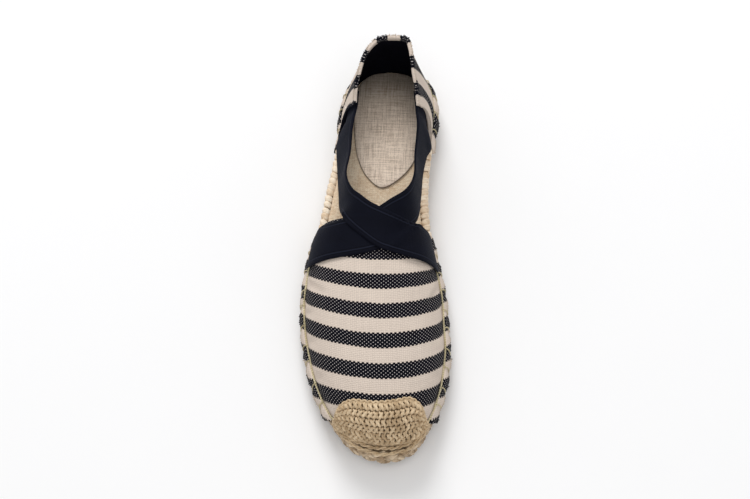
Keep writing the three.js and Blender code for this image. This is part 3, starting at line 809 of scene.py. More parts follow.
def insole_material():
    """Tan jute board, loosely woven, with darker flecks."""
    m = Surface("jute_insole", roughness=0.9, specular=0.15, sheen=0.1)
    x, y, _ = m.place()
    wobble = (m.noise(x, y, 0.0, scale=0.15) - 0.5) * 1.6
    weave = ((x + wobble) * (math.pi / 1.5)).cos() * ((y + wobble) * (math.pi / 1.2)).cos()
    twill = ((x * 0.8 + y + wobble) * (math.pi / 1.05)).cos().abs()
    flecks = m.noise(x * 0.7, y * 1.6, 3.0, scale=0.8, detail=5)
    patch = m.noise(x, y, 7.0, scale=0.05, detail=3)
    shade = flecks * 0.75 + patch * 0.35 + twill * 0.12 - 0.12
    colour = m.mix(shade.step(0.2, 0.85), srgb(212, 180, 145), srgb(255, 238, 212))
    colour = m.shade(colour, 0.9 + weave.abs() * 0.12)
    return m.finish(colour, weave.abs() * 0.6 + flecks * 0.5, depth=0.28)


def linen_material():
    """Plain-woven linen with slubs both ways, painted shade towards the heel and a painted shadow along its
    thin cut edge.
    """
    m = Surface("linen_pad", roughness=0.88, specular=0.15, sheen=0.1)
    x, y, _ = m.place()
    edge = m.field("edge")
    weave = (x * (math.pi / 0.62)).cos() * (y * (math.pi / 0.62)).cos()
    lengthwise = m.noise(x * 1.5, y * 0.07, 1.0, scale=1.0, detail=4)
    sideways = m.noise(x * 0.07, y * 1.5, 5.0, scale=1.0, detail=4)
    flecks = m.noise(x, y, 2.0, scale=1.3, detail=3)
    shade = lengthwise * 0.42 + sideways * 0.42 + flecks * 0.22
    colour = m.mix(shade.step(0.34, 0.68), srgb(176, 154, 134), srgb(246, 229, 211))
    colour = m.shade(colour, 0.93 + weave.abs() * 0.1)
    # Painted shadow of the heel quarter on the pad: darker towards the heel and darker still near its end;
    # the front keeps 1.12 times the cloth's colour.
    heel = (y - (HEEL_Y - PAD_SHADOW_FROM)).step(0.0, PAD_SHADOW_FROM * 0.9)
    deep_shadow = (y - (HEEL_Y - PAD_SHADOW_FROM * 0.62)).step(0.0, PAD_SHADOW_FROM * 0.45)
    colour = m.shade(colour, 1.12 - heel * 0.42 - deep_shadow * 0.42)
    # Painted shadow under the pad's edge: a thin dark brown line along the cut edge.
    rim = 1 - edge.step(0.12, 0.5)
    colour = m.mix(rim * 0.75, colour, srgb(84, 62, 46))
    return m.finish(colour, weave.abs() * 0.5 + shade * 0.6, depth=0.18)


def thread_material():
    """Loose canvas threads along the cut edges, in the stripe's own colours."""
    m = Surface("canvas_threads", roughness=0.9, specular=0.15, sheen=0.1)
    navy, along, turn = m.field("navy"), m.field("along"), m.field("turn")
    ply = ((along / 0.9 + turn) * (2 * math.pi)).cos()
    x, y, z = m.place()
    fibres = m.noise(x, y, z, scale=1.8, detail=3)
    cream = m.mix(fibres, srgb(196, 182, 166), srgb(228, 214, 200))
    dark = m.mix(fibres, srgb(9, 10, 17), srgb(30, 32, 46))
    return m.finish(m.mix(navy, cream, dark), ply * 0.5 + 0.5, depth=0.12)


CANVAS_CLOTH = canvas_material()
LINING = lining_material()
ELASTIC = elastic_material()
BRAID_JUTE = strand_material("jute_braid", (160, 133, 103), (236, 216, 188), 5.2, 0.35, 0.35)
LOOP_JUTE = strand_material("loop_jute", (220, 192, 160), (255, 241, 220), 6.0, 0.3, 0.1)
CROCHET_JUTE = strand_material("crochet_jute", (182, 155, 120), (238, 214, 179), 2.6, 0.3, 0.15)
# Crochet jute in darker colours: painted shade in the holes between the stitches.
CAP_SHADE = strand_material("crochet_ground_painted_shade", (138, 113, 83), (176, 150, 116), 2.6)
YARN = strand_material("cotton_yarn", (186, 170, 126), (240, 230, 196), 1.6, 0.15)
CORE = core_material()
INSOLE_CLOTH = insole_material()
LINEN = linen_material()
THREADS = thread_material()


# ---------------------------------------------------------------- sole

PLAIT_REPEAT = 27.0
PLAIT_STRANDS = 3
YARNS = 3
YARN_PITCH = 2.3
YARN_RADIUS = 1.25
PLAIT_DEPTH = 1.35
PLAIT_STEPS = 18
# The sole's side: inset at levels from its underside, 0, to its top, 1
SIDE = columns("level inset", (0, 2.8), (0.05, 1.8), (0.3, 0.4), (0.55, 0), (0.8, 0.1), (0.95, 0.5), (1, 1))
LOOPS = {"outer": (59, 119), "inner": (57, 119)}
LOOP_STEP = 3.9
LOOP_WIDE = 2.05
LOOP_THICK = 0.98
LOOP_PROFILE = columns(
    "inset drop ahead",
    (1.6, 8.6, 0), (0.5, 5.0, 0.1), (0.4, 1.3, 0.5), (1.9, -0.35, 1.2), (3.4, -0.3, 1.8),
    (4.3, 0.8, 2.2),
)
CORE_INSET = 3.4
CORE_LIFT = 0.15  # the core stays off the floor and under the braid's top by these
CORE_DROP = 0.6
COIL = 9.0
COIL_GROOVE = 0.8


def make_sole_braid():
    """The outer coil of the sole: a flat three-strand plait, each strand three jute yarns."""
    repeats = round(OUTLINE_LENGTH / PLAIT_REPEAT)
    steps = repeats * PLAIT_STEPS
    even = OUTLINE_CURVE.even(np.arange(steps + 1) / steps, 3000)
    run = np.linspace(0, OUTLINE_LENGTH, steps + 1)
    s_here = OUTLINE_CURVE.at(even)[..., 0]
    half = (sole_top(s_here) - sole_under(s_here)) / 2
    swing = half - YARN_PITCH - YARN_RADIUS
    paths, tones = [], []
    for strand in range(PLAIT_STRANDS):
        phase = 2 * np.pi * (run / OUTLINE_LENGTH * repeats + strand / PLAIT_STRANDS)
        slope = swing * np.cos(phase) * 2 * np.pi * repeats / OUTLINE_LENGTH
        lean = np.arctan(slope)
        for yarn in range(YARNS):
            offset = (yarn - (YARNS - 1) / 2) * YARN_PITCH
            wander = 0.18 * np.sin(phase * (1.7 + 0.31 * yarn) + strand + yarn)
            shift = -offset * np.sin(lean)
            lift = swing * np.sin(phase) + (offset + wander) * np.cos(lean)
            around = np.interp((run + shift) % OUTLINE_LENGTH, run, even)
            level = np.clip((lift / half + 1) / 2, 0, 1)
            inset = np.interp(level, SIDE["level"], SIDE["inset"])
            inset = inset + YARN_RADIUS + PLAIT_DEPTH * (1 - np.sin(2 * phase))
            s, x = inset_point(OUTLINE_CURVE, around, inset)
            z = lerp(sole_under(s), sole_top(s), 0.5) + lift
            paths.append(np.stack([s, x, z], -1))
            tones.append(rng.random())
    points, faces, fields = tubes(paths, YARN_RADIUS, UP, sides=8, taper=1.0, tone=np.array(tones))
    add_piece("sole_braid", points, faces, [BRAID_JUTE], "sole", fields, join=False)


def make_edge_loops():
    """Loops of jute over the sole's top edge where no canvas covers it."""
    fine = np.linspace(0, 1, 12)
    paths = []
    for side, (start, end) in LOOPS.items():
        count = round((end - start) / LOOP_STEP)
        for k in range(count):
            s0 = start + (k + rng.uniform(-0.12, 0.12)) * LOOP_STEP
            around = foot_at(side, s0 + LOOP_PROFILE["ahead"], 0)[1]
            s, x = inset_point(OUTLINE_CURVE, around, LOOP_PROFILE["inset"])
            paths.append(Spline(np.stack([s, x, sole_top(s) - LOOP_PROFILE["drop"]], 1)).at(fine))
    paths = np.array(paths)
    radius = LOOP_THICK * rng.uniform(0.88, 1.1, len(paths))
    points, faces, fields = tubes(paths, radius, FORWARD, sides=8, taper=0.6, flatten=LOOP_WIDE / LOOP_THICK)
    add_piece("sole_edge_loops", points, faces, [LOOP_JUTE], "sole", fields, join=False)


def make_sole_core():
    """The coils inside the braid, flat on top and grooved between the coils underneath."""
    plan = across_grid(OUTLINE_CURVE, CORE_INSET, 150, 61)
    depth = distance_to(OUTLINE_CURVE, plan)
    s = plan[..., 0]
    side = np.minimum(1, (depth - CORE_INSET) / 3.0)
    groove = 0.5 + 0.5 * np.cos(2 * np.pi * depth / COIL)
    under = sole_under(s) + CORE_LIFT + COIL_GROOVE * groove * side + 1.2 * (1 - side)
    top = sole_top(s) - CORE_DROP
    fields = {"coil": depth / COIL, "run": s + np.sign(plan[..., 1]) * depth}
    points, faces, fields = slab(plan, under, top, fields)
    add_piece("sole_core", points, faces, [CORE], "sole", fields)


# ---------------------------------------------------------------- insole and heel pad


INSOLE_INSET = FOOT_INSET + CANVAS + 2 * GAP
INSOLE_TOE_FROM = 200
INSOLE_TOE_PULL = 0.24  # how far the toe's end is drawn back, as a share of what lies ahead of 200 mm


def make_insole():
    """A board inside the upper, its edge rounded and its top a little uneven."""
    plan = across_grid(OUTLINE_CURVE, INSOLE_INSET, 130, 41)
    depth = np.maximum(0, distance_to(OUTLINE_CURVE, plan) - INSOLE_INSET)
    s = plan[..., 0]
    keep = 1 - INSOLE_TOE_PULL * toe_share(s)
    s = np.where(s > INSOLE_TOE_FROM, lerp(INSOLE_TOE_FROM, s, keep), s)
    plan = np.stack([s, plan[..., 1]], -1)
    rounding = 0.6 * np.exp(-depth / 0.7)
    sway = 0.12 * np.sin(s / 17) * np.sin(plan[..., 1] / 9)
    under = sole_top(s) + GAP
    points, faces, _ = slab(plan, under, under + INSOLE_THICK - rounding + sway, {})
    add_piece("insole_board", points, faces, [INSOLE_CLOTH], "insole")


PAD_EDGE_THIN = 0.42  # share of its thickness that the pad loses at its cut edge
PAD_CROWN = 0.35  # how far its middle stands up


def make_heel_pad():
    """An oval of linen, thinner at its cut edge and a little plump in the middle."""
    curve = round_curve(PAD, PAD_HEEL, PAD_TIP)
    plan = across_grid(curve, 0, 110, 45)
    depth = distance_to(curve, plan)
    s = plan[..., 0]
    base = sole_top(s) + 2 * GAP + INSOLE_THICK
    crown = PAD_THICK * (1 - PAD_EDGE_THIN * np.exp(-depth / 0.8)) + PAD_CROWN * smooth(depth / 14)
    points, faces, fields = slab(plan, base, base + crown, {"edge": depth}, {"edge": depth * 0})
    pad = add_piece("heel_pad_linen", points, faces, [LINEN], "heel_pad", fields)


# ---------------------------------------------------------------- canvas vamp

VAMP_STATIONS = 96
TOE_RAYS = 44
VAMP_ROWS = 44
FLANGE_ROWS = 12
TIE_STEP = 11.0
TIE_DENT = 0.35  # dent in the wall above a tie, fading over this many rows
TIE_DENT_ROWS = 5.0
TIE_PULL = (0.9, 0.7, 0.6)  # how far a tie pulls the edge's first rows in and its third row down
LINING_PULL = 0.6  # the same for the lining, as a share of the canvas's
RIPPLE = 0.06
FRILL = 0.45
FRILL_FINE = 0.3
FLANGE_SLANT = 0.45  # stripes run on over the turned-out edge with this slant

# Soft creases on the vamp: from and to (side, s, u), depth and half width in millimetres
CREASES = [
    ("outer", 149, 0.97, 161, 0.72, 1.15, 2.4),
    ("outer", 140, 0.95, 149, 0.82, 0.8, 2.0),
    ("outer", 166, 0.99, 171, 0.86, 0.6, 1.9),
    ("outer", 183, 0.99, 189, 0.84, 0.55, 2.1),
    ("outer", 204, 0.99, 209, 0.86, 0.45, 2.0),
    ("inner", 148, 0.98, 164, 0.80, 1.2, 2.4),
    ("inner", 141, 0.95, 148, 0.72, 0.7, 2.2),
    ("inner", 176, 0.99, 183, 0.86, 0.6, 2.0),
    ("inner", 201, 0.99, 207, 0.86, 0.45, 2.0),
    ("outer", 186, 0.35, 190, 0.02, 0.22, 5.0),
    ("inner", 168, 0.10, 172, 0.55, 0.22, 5.5),
]


def tie_places(start, end):
    """Places along a run where the yarn is tied over the edge, a little uneven."""
    count = max(2, round(abs(end - start) / TIE_STEP))
    places = np.linspace(start, end, count + 1)[:-1] + (end - start) / count / 2
    return places + rng.uniform(-1.2, 1.2, count)


VAMP_TIES = {side: tie_places(121, 224) for side in ("outer", "inner")}
QUARTER_RUN = 141.8  # length of the quarter's foot
QUARTER_TIES = tie_places(4, 138) / QUARTER_RUN


def stripe_along(points):
    """Place along the cloth, in the ridge's own stations: stripes lag towards the sides."""
    s = points[..., 0]
    ridge_z = sole_top(s) + GAP + table_value(RIDGE, "rise", s)
    off = points[..., 1] - table_value(RIDGE, "x", s)
    drop = ridge_z - points[..., 2]
    lag = np.where(off < 0, STRIPE_LAG["outer"], STRIPE_LAG["inner"])
    return s + lag * (off**2 + drop**2)


def flange_share(s):
    """How far the vamp's edge is turned out at station s: it grows and fades at both ends."""
    start, full = FLANGE_START
    end, last = FLANGE_END
    return np.clip(np.minimum((s - start) / (full - start), (end - s) / (end - last)), 0, 1)


def flange_rows(rows, around, share):
    """The turned-out edge's rows, from its free edge inwards, at places round the outline."""
    wall_s, wall_x = foot_point(around, 0)
    outwards, downwards = share**0.3, share**2
    made = []
    for inset, drop in zip(rows["inset"], rows["drop"]):
        edge_s, edge_x = inset_point(OUTLINE_CURVE, around, inset)
        s, x = lerp(wall_s, edge_s, outwards), lerp(wall_x, edge_x, outwards)
        made.append(np.stack([s, x, sole_top(s) - drop * downwards + GAP * (1 - downwards)], -1))
    return np.stack(made, -2)


def refine_flange(flange, wall, first_lift=0.0):
    """A smooth profile through the flange's rows into the wall, for each section."""
    made = []
    for rows, points in zip(flange, wall):
        foot = points[0] + (0, 0, first_lift)
        curve = Spline(np.concatenate([rows, [foot], points[1:3]]))
        share = np.linspace(0, 3 / curve.spans, FLANGE_ROWS)
        made.append(curve.at(share))
    return np.array(made)


def vamp_grid(grow):
    """Sections of the vamp from the outer throat round the toe to the inner throat, foot to ridge."""
    t = np.arange(VAMP_ROWS + 1) / VAMP_ROWS
    shares = np.cos(t * np.pi / 2) * (1 - 0.35 * t * (1 - t))
    sections, arounds, stations = [], [], []
    for side in ("outer", "inner"):
        steps = np.linspace(0, 1, VAMP_STATIONS + 1)[:, None]
        s = lerp(THROAT_AT_FOOT, RIDGE_END, steps)
        station = s + THROAT_BOW * (1 - shares**2) * (1 - steps) ** 2
        half = vamp_point(side, station, shares[None], grow)
        around = foot_at(side, s[:, 0], 0)[1]
        if side == "inner":
            half, around, s = half[::-1], around[::-1], s[::-1]
        sections.append(half)
        arounds.append(around)
        stations.append(s[:, 0])
    rays = np.linspace(arounds[0][-1], arounds[1][0], TOE_RAYS + 1)[1:-1]
    fan = toe_point(rays[:, None], shares[None], grow)
    sections.insert(1, fan)
    arounds.insert(1, rays)
    stations.insert(1, foot_point(rays, 0)[0])
    return np.concatenate(sections), np.concatenate(arounds), np.concatenate(stations)


def crease_depth(points):
    """How far the creases push the cloth in, with a low ridge on both sides of each trough."""
    total = np.zeros(points.shape[:-1])
    for side, s0, u0, s1, u1, depth, width in CREASES:
        a = vamp_point(side, s0, u0, 0)
        b = vamp_point(side, s1, u1, 0)
        span = b - a
        t = np.clip(((points - a) @ span) / (span @ span), 0, 1)
        middle = a + t[..., None] * span
        bend = 1.2 * np.sin(np.pi * t)
        away = np.linalg.norm(points - middle, axis=-1) - bend * 0.3
        q = away / width
        total += depth * np.sin(np.pi * (0.12 + 0.8 * t)) * (1 - 0.9 * q**2) * np.exp(-0.5 * q**2)
    return total


def grid_normals(grid):
    """Unit normals of a grid of points."""
    return unit(np.cross(np.gradient(grid, axis=0), np.gradient(grid, axis=1)))


def pucker(run, ties, width=2.4):
    """1 where a tie pulls the edge in, fading to 0 between the ties."""
    return np.exp(-(((run[:, None] - ties[None]) / width) ** 2)).max(1)


def frill_height(slow, beat, fine):
    """How the free edge waves up and down."""
    return FRILL * np.sin(slow) * np.sin(beat) + FRILL_FINE * np.sin(fine + 1)


def turned_edge(around, share, frill, pull, wall, lining, first_lift=0.0):
    """The turned-out edge, waved by frill and drawn in by pull at the ties: outer and inner skin."""
    outwards = np.stack(inset_point(OUTLINE_CURVE, around, -1.0), -1) - OUTLINE_CURVE.at(around)
    outwards = raised(outwards, np.zeros(len(around)))
    pulled = (outwards, outwards, np.broadcast_to(UP, outwards.shape))
    skins = []
    both = ((FLANGE_OUTSIDE, wall, 1.0, first_lift), (FLANGE_INSIDE, lining, LINING_PULL, 0.0))
    for table, form, amount, lift in both:
        rows = flange_rows(table, around, share)
        rows[:, 0, 2] += frill
        for row, reach in enumerate(TIE_PULL):
            rows[:, row] -= pulled[row] * (reach * pull * share * amount)[:, None]
        skins.append(refine_flange(rows, form, lift))
    return skins


def canvas_piece(name, node, outside, inside, fields, top_columns=0, last_column=True):
    """Canvas outside and lining inside, with canvas again inside the turned edge and the top."""
    points, faces, fields, part = shell(outside, inside, fields, last_column=last_column)
    rows, wide = outside.shape[:2]
    count = (rows - 1) * (wide - 1)
    column = np.arange(count) % (wide - 1)
    pick = np.where(part == 1, 1, 0)
    pick[count : 2 * count][(column < FLANGE_ROWS - 1) | (column > wide - top_columns)] = 0
    add_piece(name, points, faces, [CANVAS_CLOTH, LINING], node, fields, pick)


def make_vamp():
    """The forefoot's canvas: creased, rippled and dented at the ties, with its edge turned out."""
    wall, around, stations = vamp_grid(0)
    lining, _, _ = vamp_grid(-CANVAS)
    normals = grid_normals(wall)
    normals *= np.sign(normals[..., 2].sum())
    normals[:, -1] = (0, 0, 1)
    pushed = crease_depth(wall)[..., None]
    s, x = wall[..., 0:1], wall[..., 1:2]
    ripple = RIPPLE * np.sin(s / 6.3 + x / 11) * np.sin(x / 7.1)
    outer_side = np.arange(len(around)) < len(around) / 2
    pull = np.where(outer_side, pucker(stations, VAMP_TIES["outer"]), pucker(stations, VAMP_TIES["inner"]))
    fade = np.exp(-np.arange(wall.shape[1]) / TIE_DENT_ROWS)[None, :, None]
    dent = TIE_DENT * pull[:, None, None] * fade
    formed = wall - normals * (pushed + ripple + dent)
    formed[:, 0] = wall[:, 0]
    share = flange_share(stations)
    frill = frill_height(stations * 1.9, stations * 0.37, stations * 0.9) * share
    edge, under = turned_edge(around, share, frill, pull, formed, lining)
    outside = np.concatenate([edge, formed[:, 1:]], 1)
    inside = np.concatenate([under, lining[:, 1:]], 1)
    run = lengths(np.moveaxis(outside, 1, 0)[::-1])[::-1]
    across = np.moveaxis(run, 0, 1) * np.where(outer_side, -1, 1)[:, None]
    along = stripe_along(outside)
    foot = FLANGE_ROWS - 1
    beyond = np.abs(across[:, :foot]) - np.abs(across[:, foot : foot + 1])
    along[:, :foot] = along[:, foot : foot + 1] + FLANGE_SLANT * beyond
    fields = {"along": along, "across": across}
    canvas_piece("vamp_canvas", "upper_vamp", outside, inside, fields, last_column=False)
    return outside, along


# ---------------------------------------------------------------- heel quarter

QUARTER_SECTIONS = 150
QUARTER_ROWS = 44
COLLAR_ROWS = 5
COLLAR_CROWN = 0.8
QUARTER_REACH = STRIPE / QUARTER_STRIPE_TURN
QUARTER_SAG = 0.35
QUARTER_DENT = 0.5
QUARTER_DENT_WIDE = 0.03
QUARTER_DENTS = (0.16, 0.86)
FOOT_LIFT = 0.4


def half_round(start, end):
    """Rows of the collar's rounded top, from one skin up to the middle between the two."""
    made = []
    for k in range(1, COLLAR_ROWS):
        angle = np.pi / 2 * k / COLLAR_ROWS
        middle = start + (end - start) * (0.5 - 0.5 * np.cos(angle))
        made.append(middle + np.array([0, 0, COLLAR_CROWN]) * np.sin(angle))
    return np.stack(made, 1)


def make_quarter():
    """The heel part: foot to collar, dented a little in front of the heel on both sides."""
    turn = np.linspace(0, 1, QUARTER_SECTIONS + 1)
    rise = np.linspace(0, 1, QUARTER_ROWS + 1)
    around = quarter_around(turn) % 1
    outer = quarter_point(turn[:, None], rise[None], 0)
    inner = quarter_point(turn[:, None], rise[None], QUARTER_WALL)
    sag = QUARTER_SAG * np.sin(turn[:, None] * 23) * np.sin(np.pi * rise[None]) ** 2
    for place in QUARTER_DENTS:
        across = np.exp(-(((turn[:, None] - place) / QUARTER_DENT_WIDE) ** 2))
        sag += QUARTER_DENT * across * np.sin(np.pi * rise[None])
    push = unit(outer - inner) * sag[..., None]
    outer, inner = outer - push, inner - push
    pull = pucker(turn * QUARTER_RUN, QUARTER_TIES * QUARTER_RUN)
    frill = frill_height(turn * 260, turn * 51, turn * 120)
    edge, under = turned_edge(around, np.ones_like(turn), frill, pull, outer, inner, FOOT_LIFT)
    top, top_inside = outer[:, -1], inner[:, -1]
    outside = np.concatenate([edge, outer[:, 1:], half_round(top, top_inside)], 1)
    inside = np.concatenate([under, inner[:, 1:], half_round(top_inside, top)], 1)
    along = (turn[:, None] - QUARTER_STRIPE_START) * QUARTER_REACH + STRIPE_START
    along = np.broadcast_to(along, outside.shape[:2])
    fields = {"along": along, "across": lengths_across(outside)}
    canvas_piece("quarter_canvas", "upper_quarter", outside, inside, fields, COLLAR_ROWS + 3)
    return outside, along


# ---------------------------------------------------------------- elastic bands

BAND_STATIONS = 170
BAND_WIDE = 22
BAND_INSIDE = QUARTER_WALL + GAP + BAND / 2
BAND_CROWDING = 0.35  # how much the mesh's columns crowd towards the band's edges
BAND_BULGE = 1.7  # how far its middle stands out sideways, fading over these stations
BAND_BULGE_SPAN = (50, 80)
REST_ON_VAMP = GAP + BAND / 2 + 0.05
BANDS_TOUCH = 0.98  # distance between the bands' middles where they cross, in thicknesses
CROSSING_NEAR = 1.2  # the upper band is fully lifted this near the lower one, in plan
CROSSING_FADE = 4.0
LOWER_ROUNDS = 6  # how often each band's heights are evened out
UPPER_ROUNDS = 10
CROSSING_MOST = 12  # bands further apart in height than this don't touch


def band_edge(entry, lift):
    """A row's end of a band as a place on the shoe."""
    kind, *values = entry
    if kind == "turn":
        return quarter_point(values[0], values[1], BAND_INSIDE)
    if kind == "air":
        return np.array(values, float)
    return vamp_point(kind, values[0], values[1], GAP + BAND / 2 + lift)


def band_middle(rows):
    """Middle surface of a band, raised where it would sink into the vamp."""
    t = np.linspace(0, 1, BAND_STATIONS + 1)
    rear = Spline([band_edge(rear, lift) for rear, _, lift in rows]).at(t)
    front = Spline([band_edge(front, lift) for _, front, lift in rows]).at(t)
    v = np.linspace(-1, 1, BAND_WIDE + 1)
    v = (0.5 + 0.5 * np.sin(v * np.pi / 2) * BAND_CROWDING + (1 - BAND_CROWDING) * v / 2)[None, :, None]
    middle = lerp(rear[:, None], front[:, None], v)
    start, end = BAND_BULGE_SPAN
    fade = 1 - smooth((middle[..., 0] - start) / (end - start))
    middle[..., 1] += np.sign(middle[..., 1]) * BAND_BULGE * fade * np.sin(np.pi * v[..., 0])
    form = form_z(middle[..., 0], middle[..., 1], REST_ON_VAMP)
    sunk = (middle[..., 0] > THROAT_AT_FOOT - 1) & (middle[..., 2] < form)
    middle[..., 2] = np.where(sunk, form, middle[..., 2])
    return middle


def relax(grid, rounds, keep_above=None):
    """Evens a surface's heights, keeping it above a floor."""
    z = grid[..., 2].copy()
    for _ in range(rounds):
        padded = np.pad(z, 1, mode="edge")
        z = 0.5 * z + 0.125 * (padded[:-2, 1:-1] + padded[2:, 1:-1] + padded[1:-1, :-2] + padded[1:-1, 2:])
        if keep_above is not None:
            z = np.maximum(z, keep_above)
    grid = grid.copy()
    grid[..., 2] = z
    return grid


def lie_over(upper, lower):
    """Lifts the upper band where it passes over the lower one."""
    flat_lower = lower[::2, ::2].reshape(-1, 3)
    away, index = nearest(flat_lower[:, :2], upper[..., :2])
    height = flat_lower[index, 2]
    near = 1 - smooth((away - CROSSING_NEAR) / CROSSING_FADE)
    gap = np.maximum(0, height + BAND * BANDS_TOUCH - upper[..., 2]) * near
    same_crossing = np.abs(upper[..., 2] - height) < CROSSING_MOST
    upper = upper.copy()
    upper[..., 2] += np.where(same_crossing, gap, 0)
    return upper


def band_piece(name, middle):
    """Gives a band its thickness, thinner at both edges."""
    normals = grid_normals(middle)
    v = np.linspace(-1, 1, BAND_WIDE + 1)
    plump = np.sqrt(np.clip(1 - np.abs(v) ** 8, 0.03, 1))[None, :, None]
    half = BAND / 2 * 0.92
    outside = middle + normals * half * plump
    inside = middle - normals * half * plump
    across = lengths_across(middle)
    edge = np.minimum(across, across[:, -1:] - across)
    fields = {"along": lengths(middle), "across": across, "edge": edge}
    points, faces, fields, _ = shell(outside, inside, fields)
    add_piece(name, points, faces, [ELASTIC], "upper_straps", fields)


def make_bands():
    """Two crossing bands: the one from the outer quarter passes over the other."""
    lower = band_middle(INNER_BAND)
    upper = band_middle(OUTER_BAND)
    form = form_z(lower[..., 0], lower[..., 1], REST_ON_VAMP)
    lower = relax(lower, LOWER_ROUNDS, np.where(lower[..., 0] > THROAT_AT_FOOT + 1, form, -1e3))
    upper = relax(lie_over(upper, lower), UPPER_ROUNDS)
    upper = lie_over(upper, lower)
    band_piece("band_under", lower)
    band_piece("band_over", upper)


# ---------------------------------------------------------------- yarn, ties and loose threads

YARN_PLY = 0.31
YARN_TWIST = 3.4
FEATHER_INSET = 1.35
FEATHER_LIFT = 1.25
FEATHER_STEP = 0.55
FEATHER_WAVES = ((0.22, 17), (0.12, 7))  # how far the yarn wanders, and over how many steps
YARN_RUNS = (
    ("outer", 112.5, "outer", 231.5),
    ("inner", 112.5, "inner", 231.0),
    ("outer", 60.5, "inner", 58.5),
)
TIE_PLY = 0.22
TIE_TWIST = 2.2
TIE_SLANT = 0.0042  # most that a tie leans, as a share of the outline
TIE_UP = np.array([1.0, 0.02, 0.3])
TIE_PROFILE = columns(
    "inset drop",
    (2.0, -0.9), (1.2, -1.75), (0.3, -1.6), (-0.6, -0.6), (-1.15, 1.6), (-1.35, 4.6), (-0.9, 7.4),
)


def twisted(path, up, ply=YARN_PLY, pitch=YARN_TWIST):
    """Paths of two plies twisted round a line."""
    side, normal = frames(path, up)
    run = lengths(path)
    made = []
    for start in (0, 0.5):
        angle = 2 * np.pi * (run / pitch + start)
        made.append(path + (side * np.cos(angle)[:, None] + normal * np.sin(angle)[:, None]) * ply * 0.9)
    return made


def feather_path(around, inset):
    """The yarn's line in the crease between wall and turned-out edge."""
    s, x = inset_point(OUTLINE_CURVE, around, inset + setback(around) * 0.8)
    return np.stack([s, x, sole_top(s) + FEATHER_LIFT], -1)


def tie_path(around, slant):
    """A tie from the yarn out over the edge and down to the sole."""
    share = np.arange(len(TIE_PROFILE["inset"])) / 6
    s, x = inset_point(OUTLINE_CURVE, around + slant * share, TIE_PROFILE["inset"])
    return Spline(np.stack([s, x, sole_top(s) - TIE_PROFILE["drop"]], 1)).at(np.linspace(0, 1, 22))


def make_yarn():
    """One run of yarn along each side of the vamp and one round the quarter, with their ties."""
    parts = []
    for side, s, other_side, other_s in YARN_RUNS:
        start = foot_at(side, s, 0)[1]
        end = foot_at(other_side, other_s, 0)[1] - (side != other_side)
        steps = int(abs(end - start) * OUTLINE_LENGTH / FEATHER_STEP)
        around = np.linspace(start, end, steps)
        wander = sum(size * np.sin(np.linspace(0, steps / wave, steps)) for size, wave in FEATHER_WAVES)
        path = feather_path(around % 1, FEATHER_INSET + wander)
        parts.append(tubes(twisted(path, UP), YARN_PLY * 1.12, UP, tone=0.6))
    places = [foot_at(side, s, 0)[1] for side in ("outer", "inner") for s in VAMP_TIES[side]]
    places += [quarter_around(turn) % 1 for turn in QUARTER_TIES]
    for around in places:
        path = tie_path(around, rng.uniform(-TIE_SLANT, TIE_SLANT))
        parts.append(tubes(twisted(path, TIE_UP, TIE_PLY, TIE_TWIST), TIE_PLY, TIE_UP, tone=0.5))
    points, faces, fields = gather(*parts)
    add_piece("feather_yarn", points, faces, [YARN], None, fields, join=False)


FRINGE_PITCH = 1.15
FRINGE_SPAN = (117, 228)  # stations between which the vamp's edge is frayed
FRINGE_UP = np.array([0.3, 0.2, 1.0])


def fringe(edge, outwards, along, pitch, length, radius=0.44):
    """Short thread ends that stand out of a cut edge, with the stripe's colour at their root."""
    run = lengths(edge)
    places = np.arange(pitch / 2, run[-1], pitch)
    places = places + rng.uniform(-0.25, 0.25, len(places)) * pitch
    root = np.stack([np.interp(places, run, edge[:, k]) for k in range(3)], -1)
    out = np.stack([np.interp(places, run, outwards[:, k]) for k in range(3)], -1)
    cloth = np.interp(places, run, along)
    place = ((cloth - STRIPE_START) / STRIPE) % 1
    navy = (place < STRIPE_NAVY).astype(float)
    reach = length * rng.uniform(0.6, 1.25, len(places))
    lean = rng.normal(0, 0.35, (len(places), 3))
    middle = root + (out + lean * 0.4) * reach[:, None] * 0.5
    tip = root + (out * 0.9 + lean) * reach[:, None]
    paths = np.stack([root - out * 0.5, root + out * 0.1, middle, tip], 1)
    thickness = radius * rng.uniform(0.75, 1.15, len(places))
    points, faces, fields = tubes(paths, thickness, FRINGE_UP, taper=0.6)
    fields["navy"] = np.repeat(navy, len(points) // len(places))
    return points, faces, fields


def edge_fringe(cloth, along):
    """Two rows of thread ends along a turned-out edge."""
    outwards = unit(cloth[:, 0] - cloth[:, 3])
    rows = ((0, 0.9), (1, 0.5))
    return [fringe(cloth[:, row], outwards, along[:, 0], FRINGE_PITCH, reach) for row, reach in rows]


def make_fringe(vamp, vamp_along, quarter, quarter_along):
    """Thread ends along the turned-out edges, the collar and the quarter's front edges."""
    s = vamp[:, 0, 0]
    index = np.arange(len(s))
    full = (s > FRINGE_SPAN[0]) & (s < FRINGE_SPAN[1])
    parts = []
    for half in (index < len(s) // 2, index >= len(s) // 2):
        parts += edge_fringe(vamp[full & half], vamp_along[full & half])
    parts += edge_fringe(quarter, quarter_along)
    top = quarter[:, -COLLAR_ROWS + 1]
    parts.append(fringe(top, np.broadcast_to(UP, top.shape), quarter_along[:, -1], FRINGE_PITCH, 0.95, 0.5))
    rows = slice(FLANGE_ROWS, -COLLAR_ROWS)
    for end, inner in ((0, 2), (-1, -3)):
        outwards = unit(quarter[end, rows] - quarter[inner, rows])
        parts.append(fringe(quarter[end, rows], outwards, quarter_along[end, rows], 1.1, 0.8, 0.46))
    points, faces, fields = gather(*parts)
    add_piece("canvas_fringe", points, faces, [THREADS], None, fields, join=False)


# ---------------------------------------------------------------- crocheted toe cap

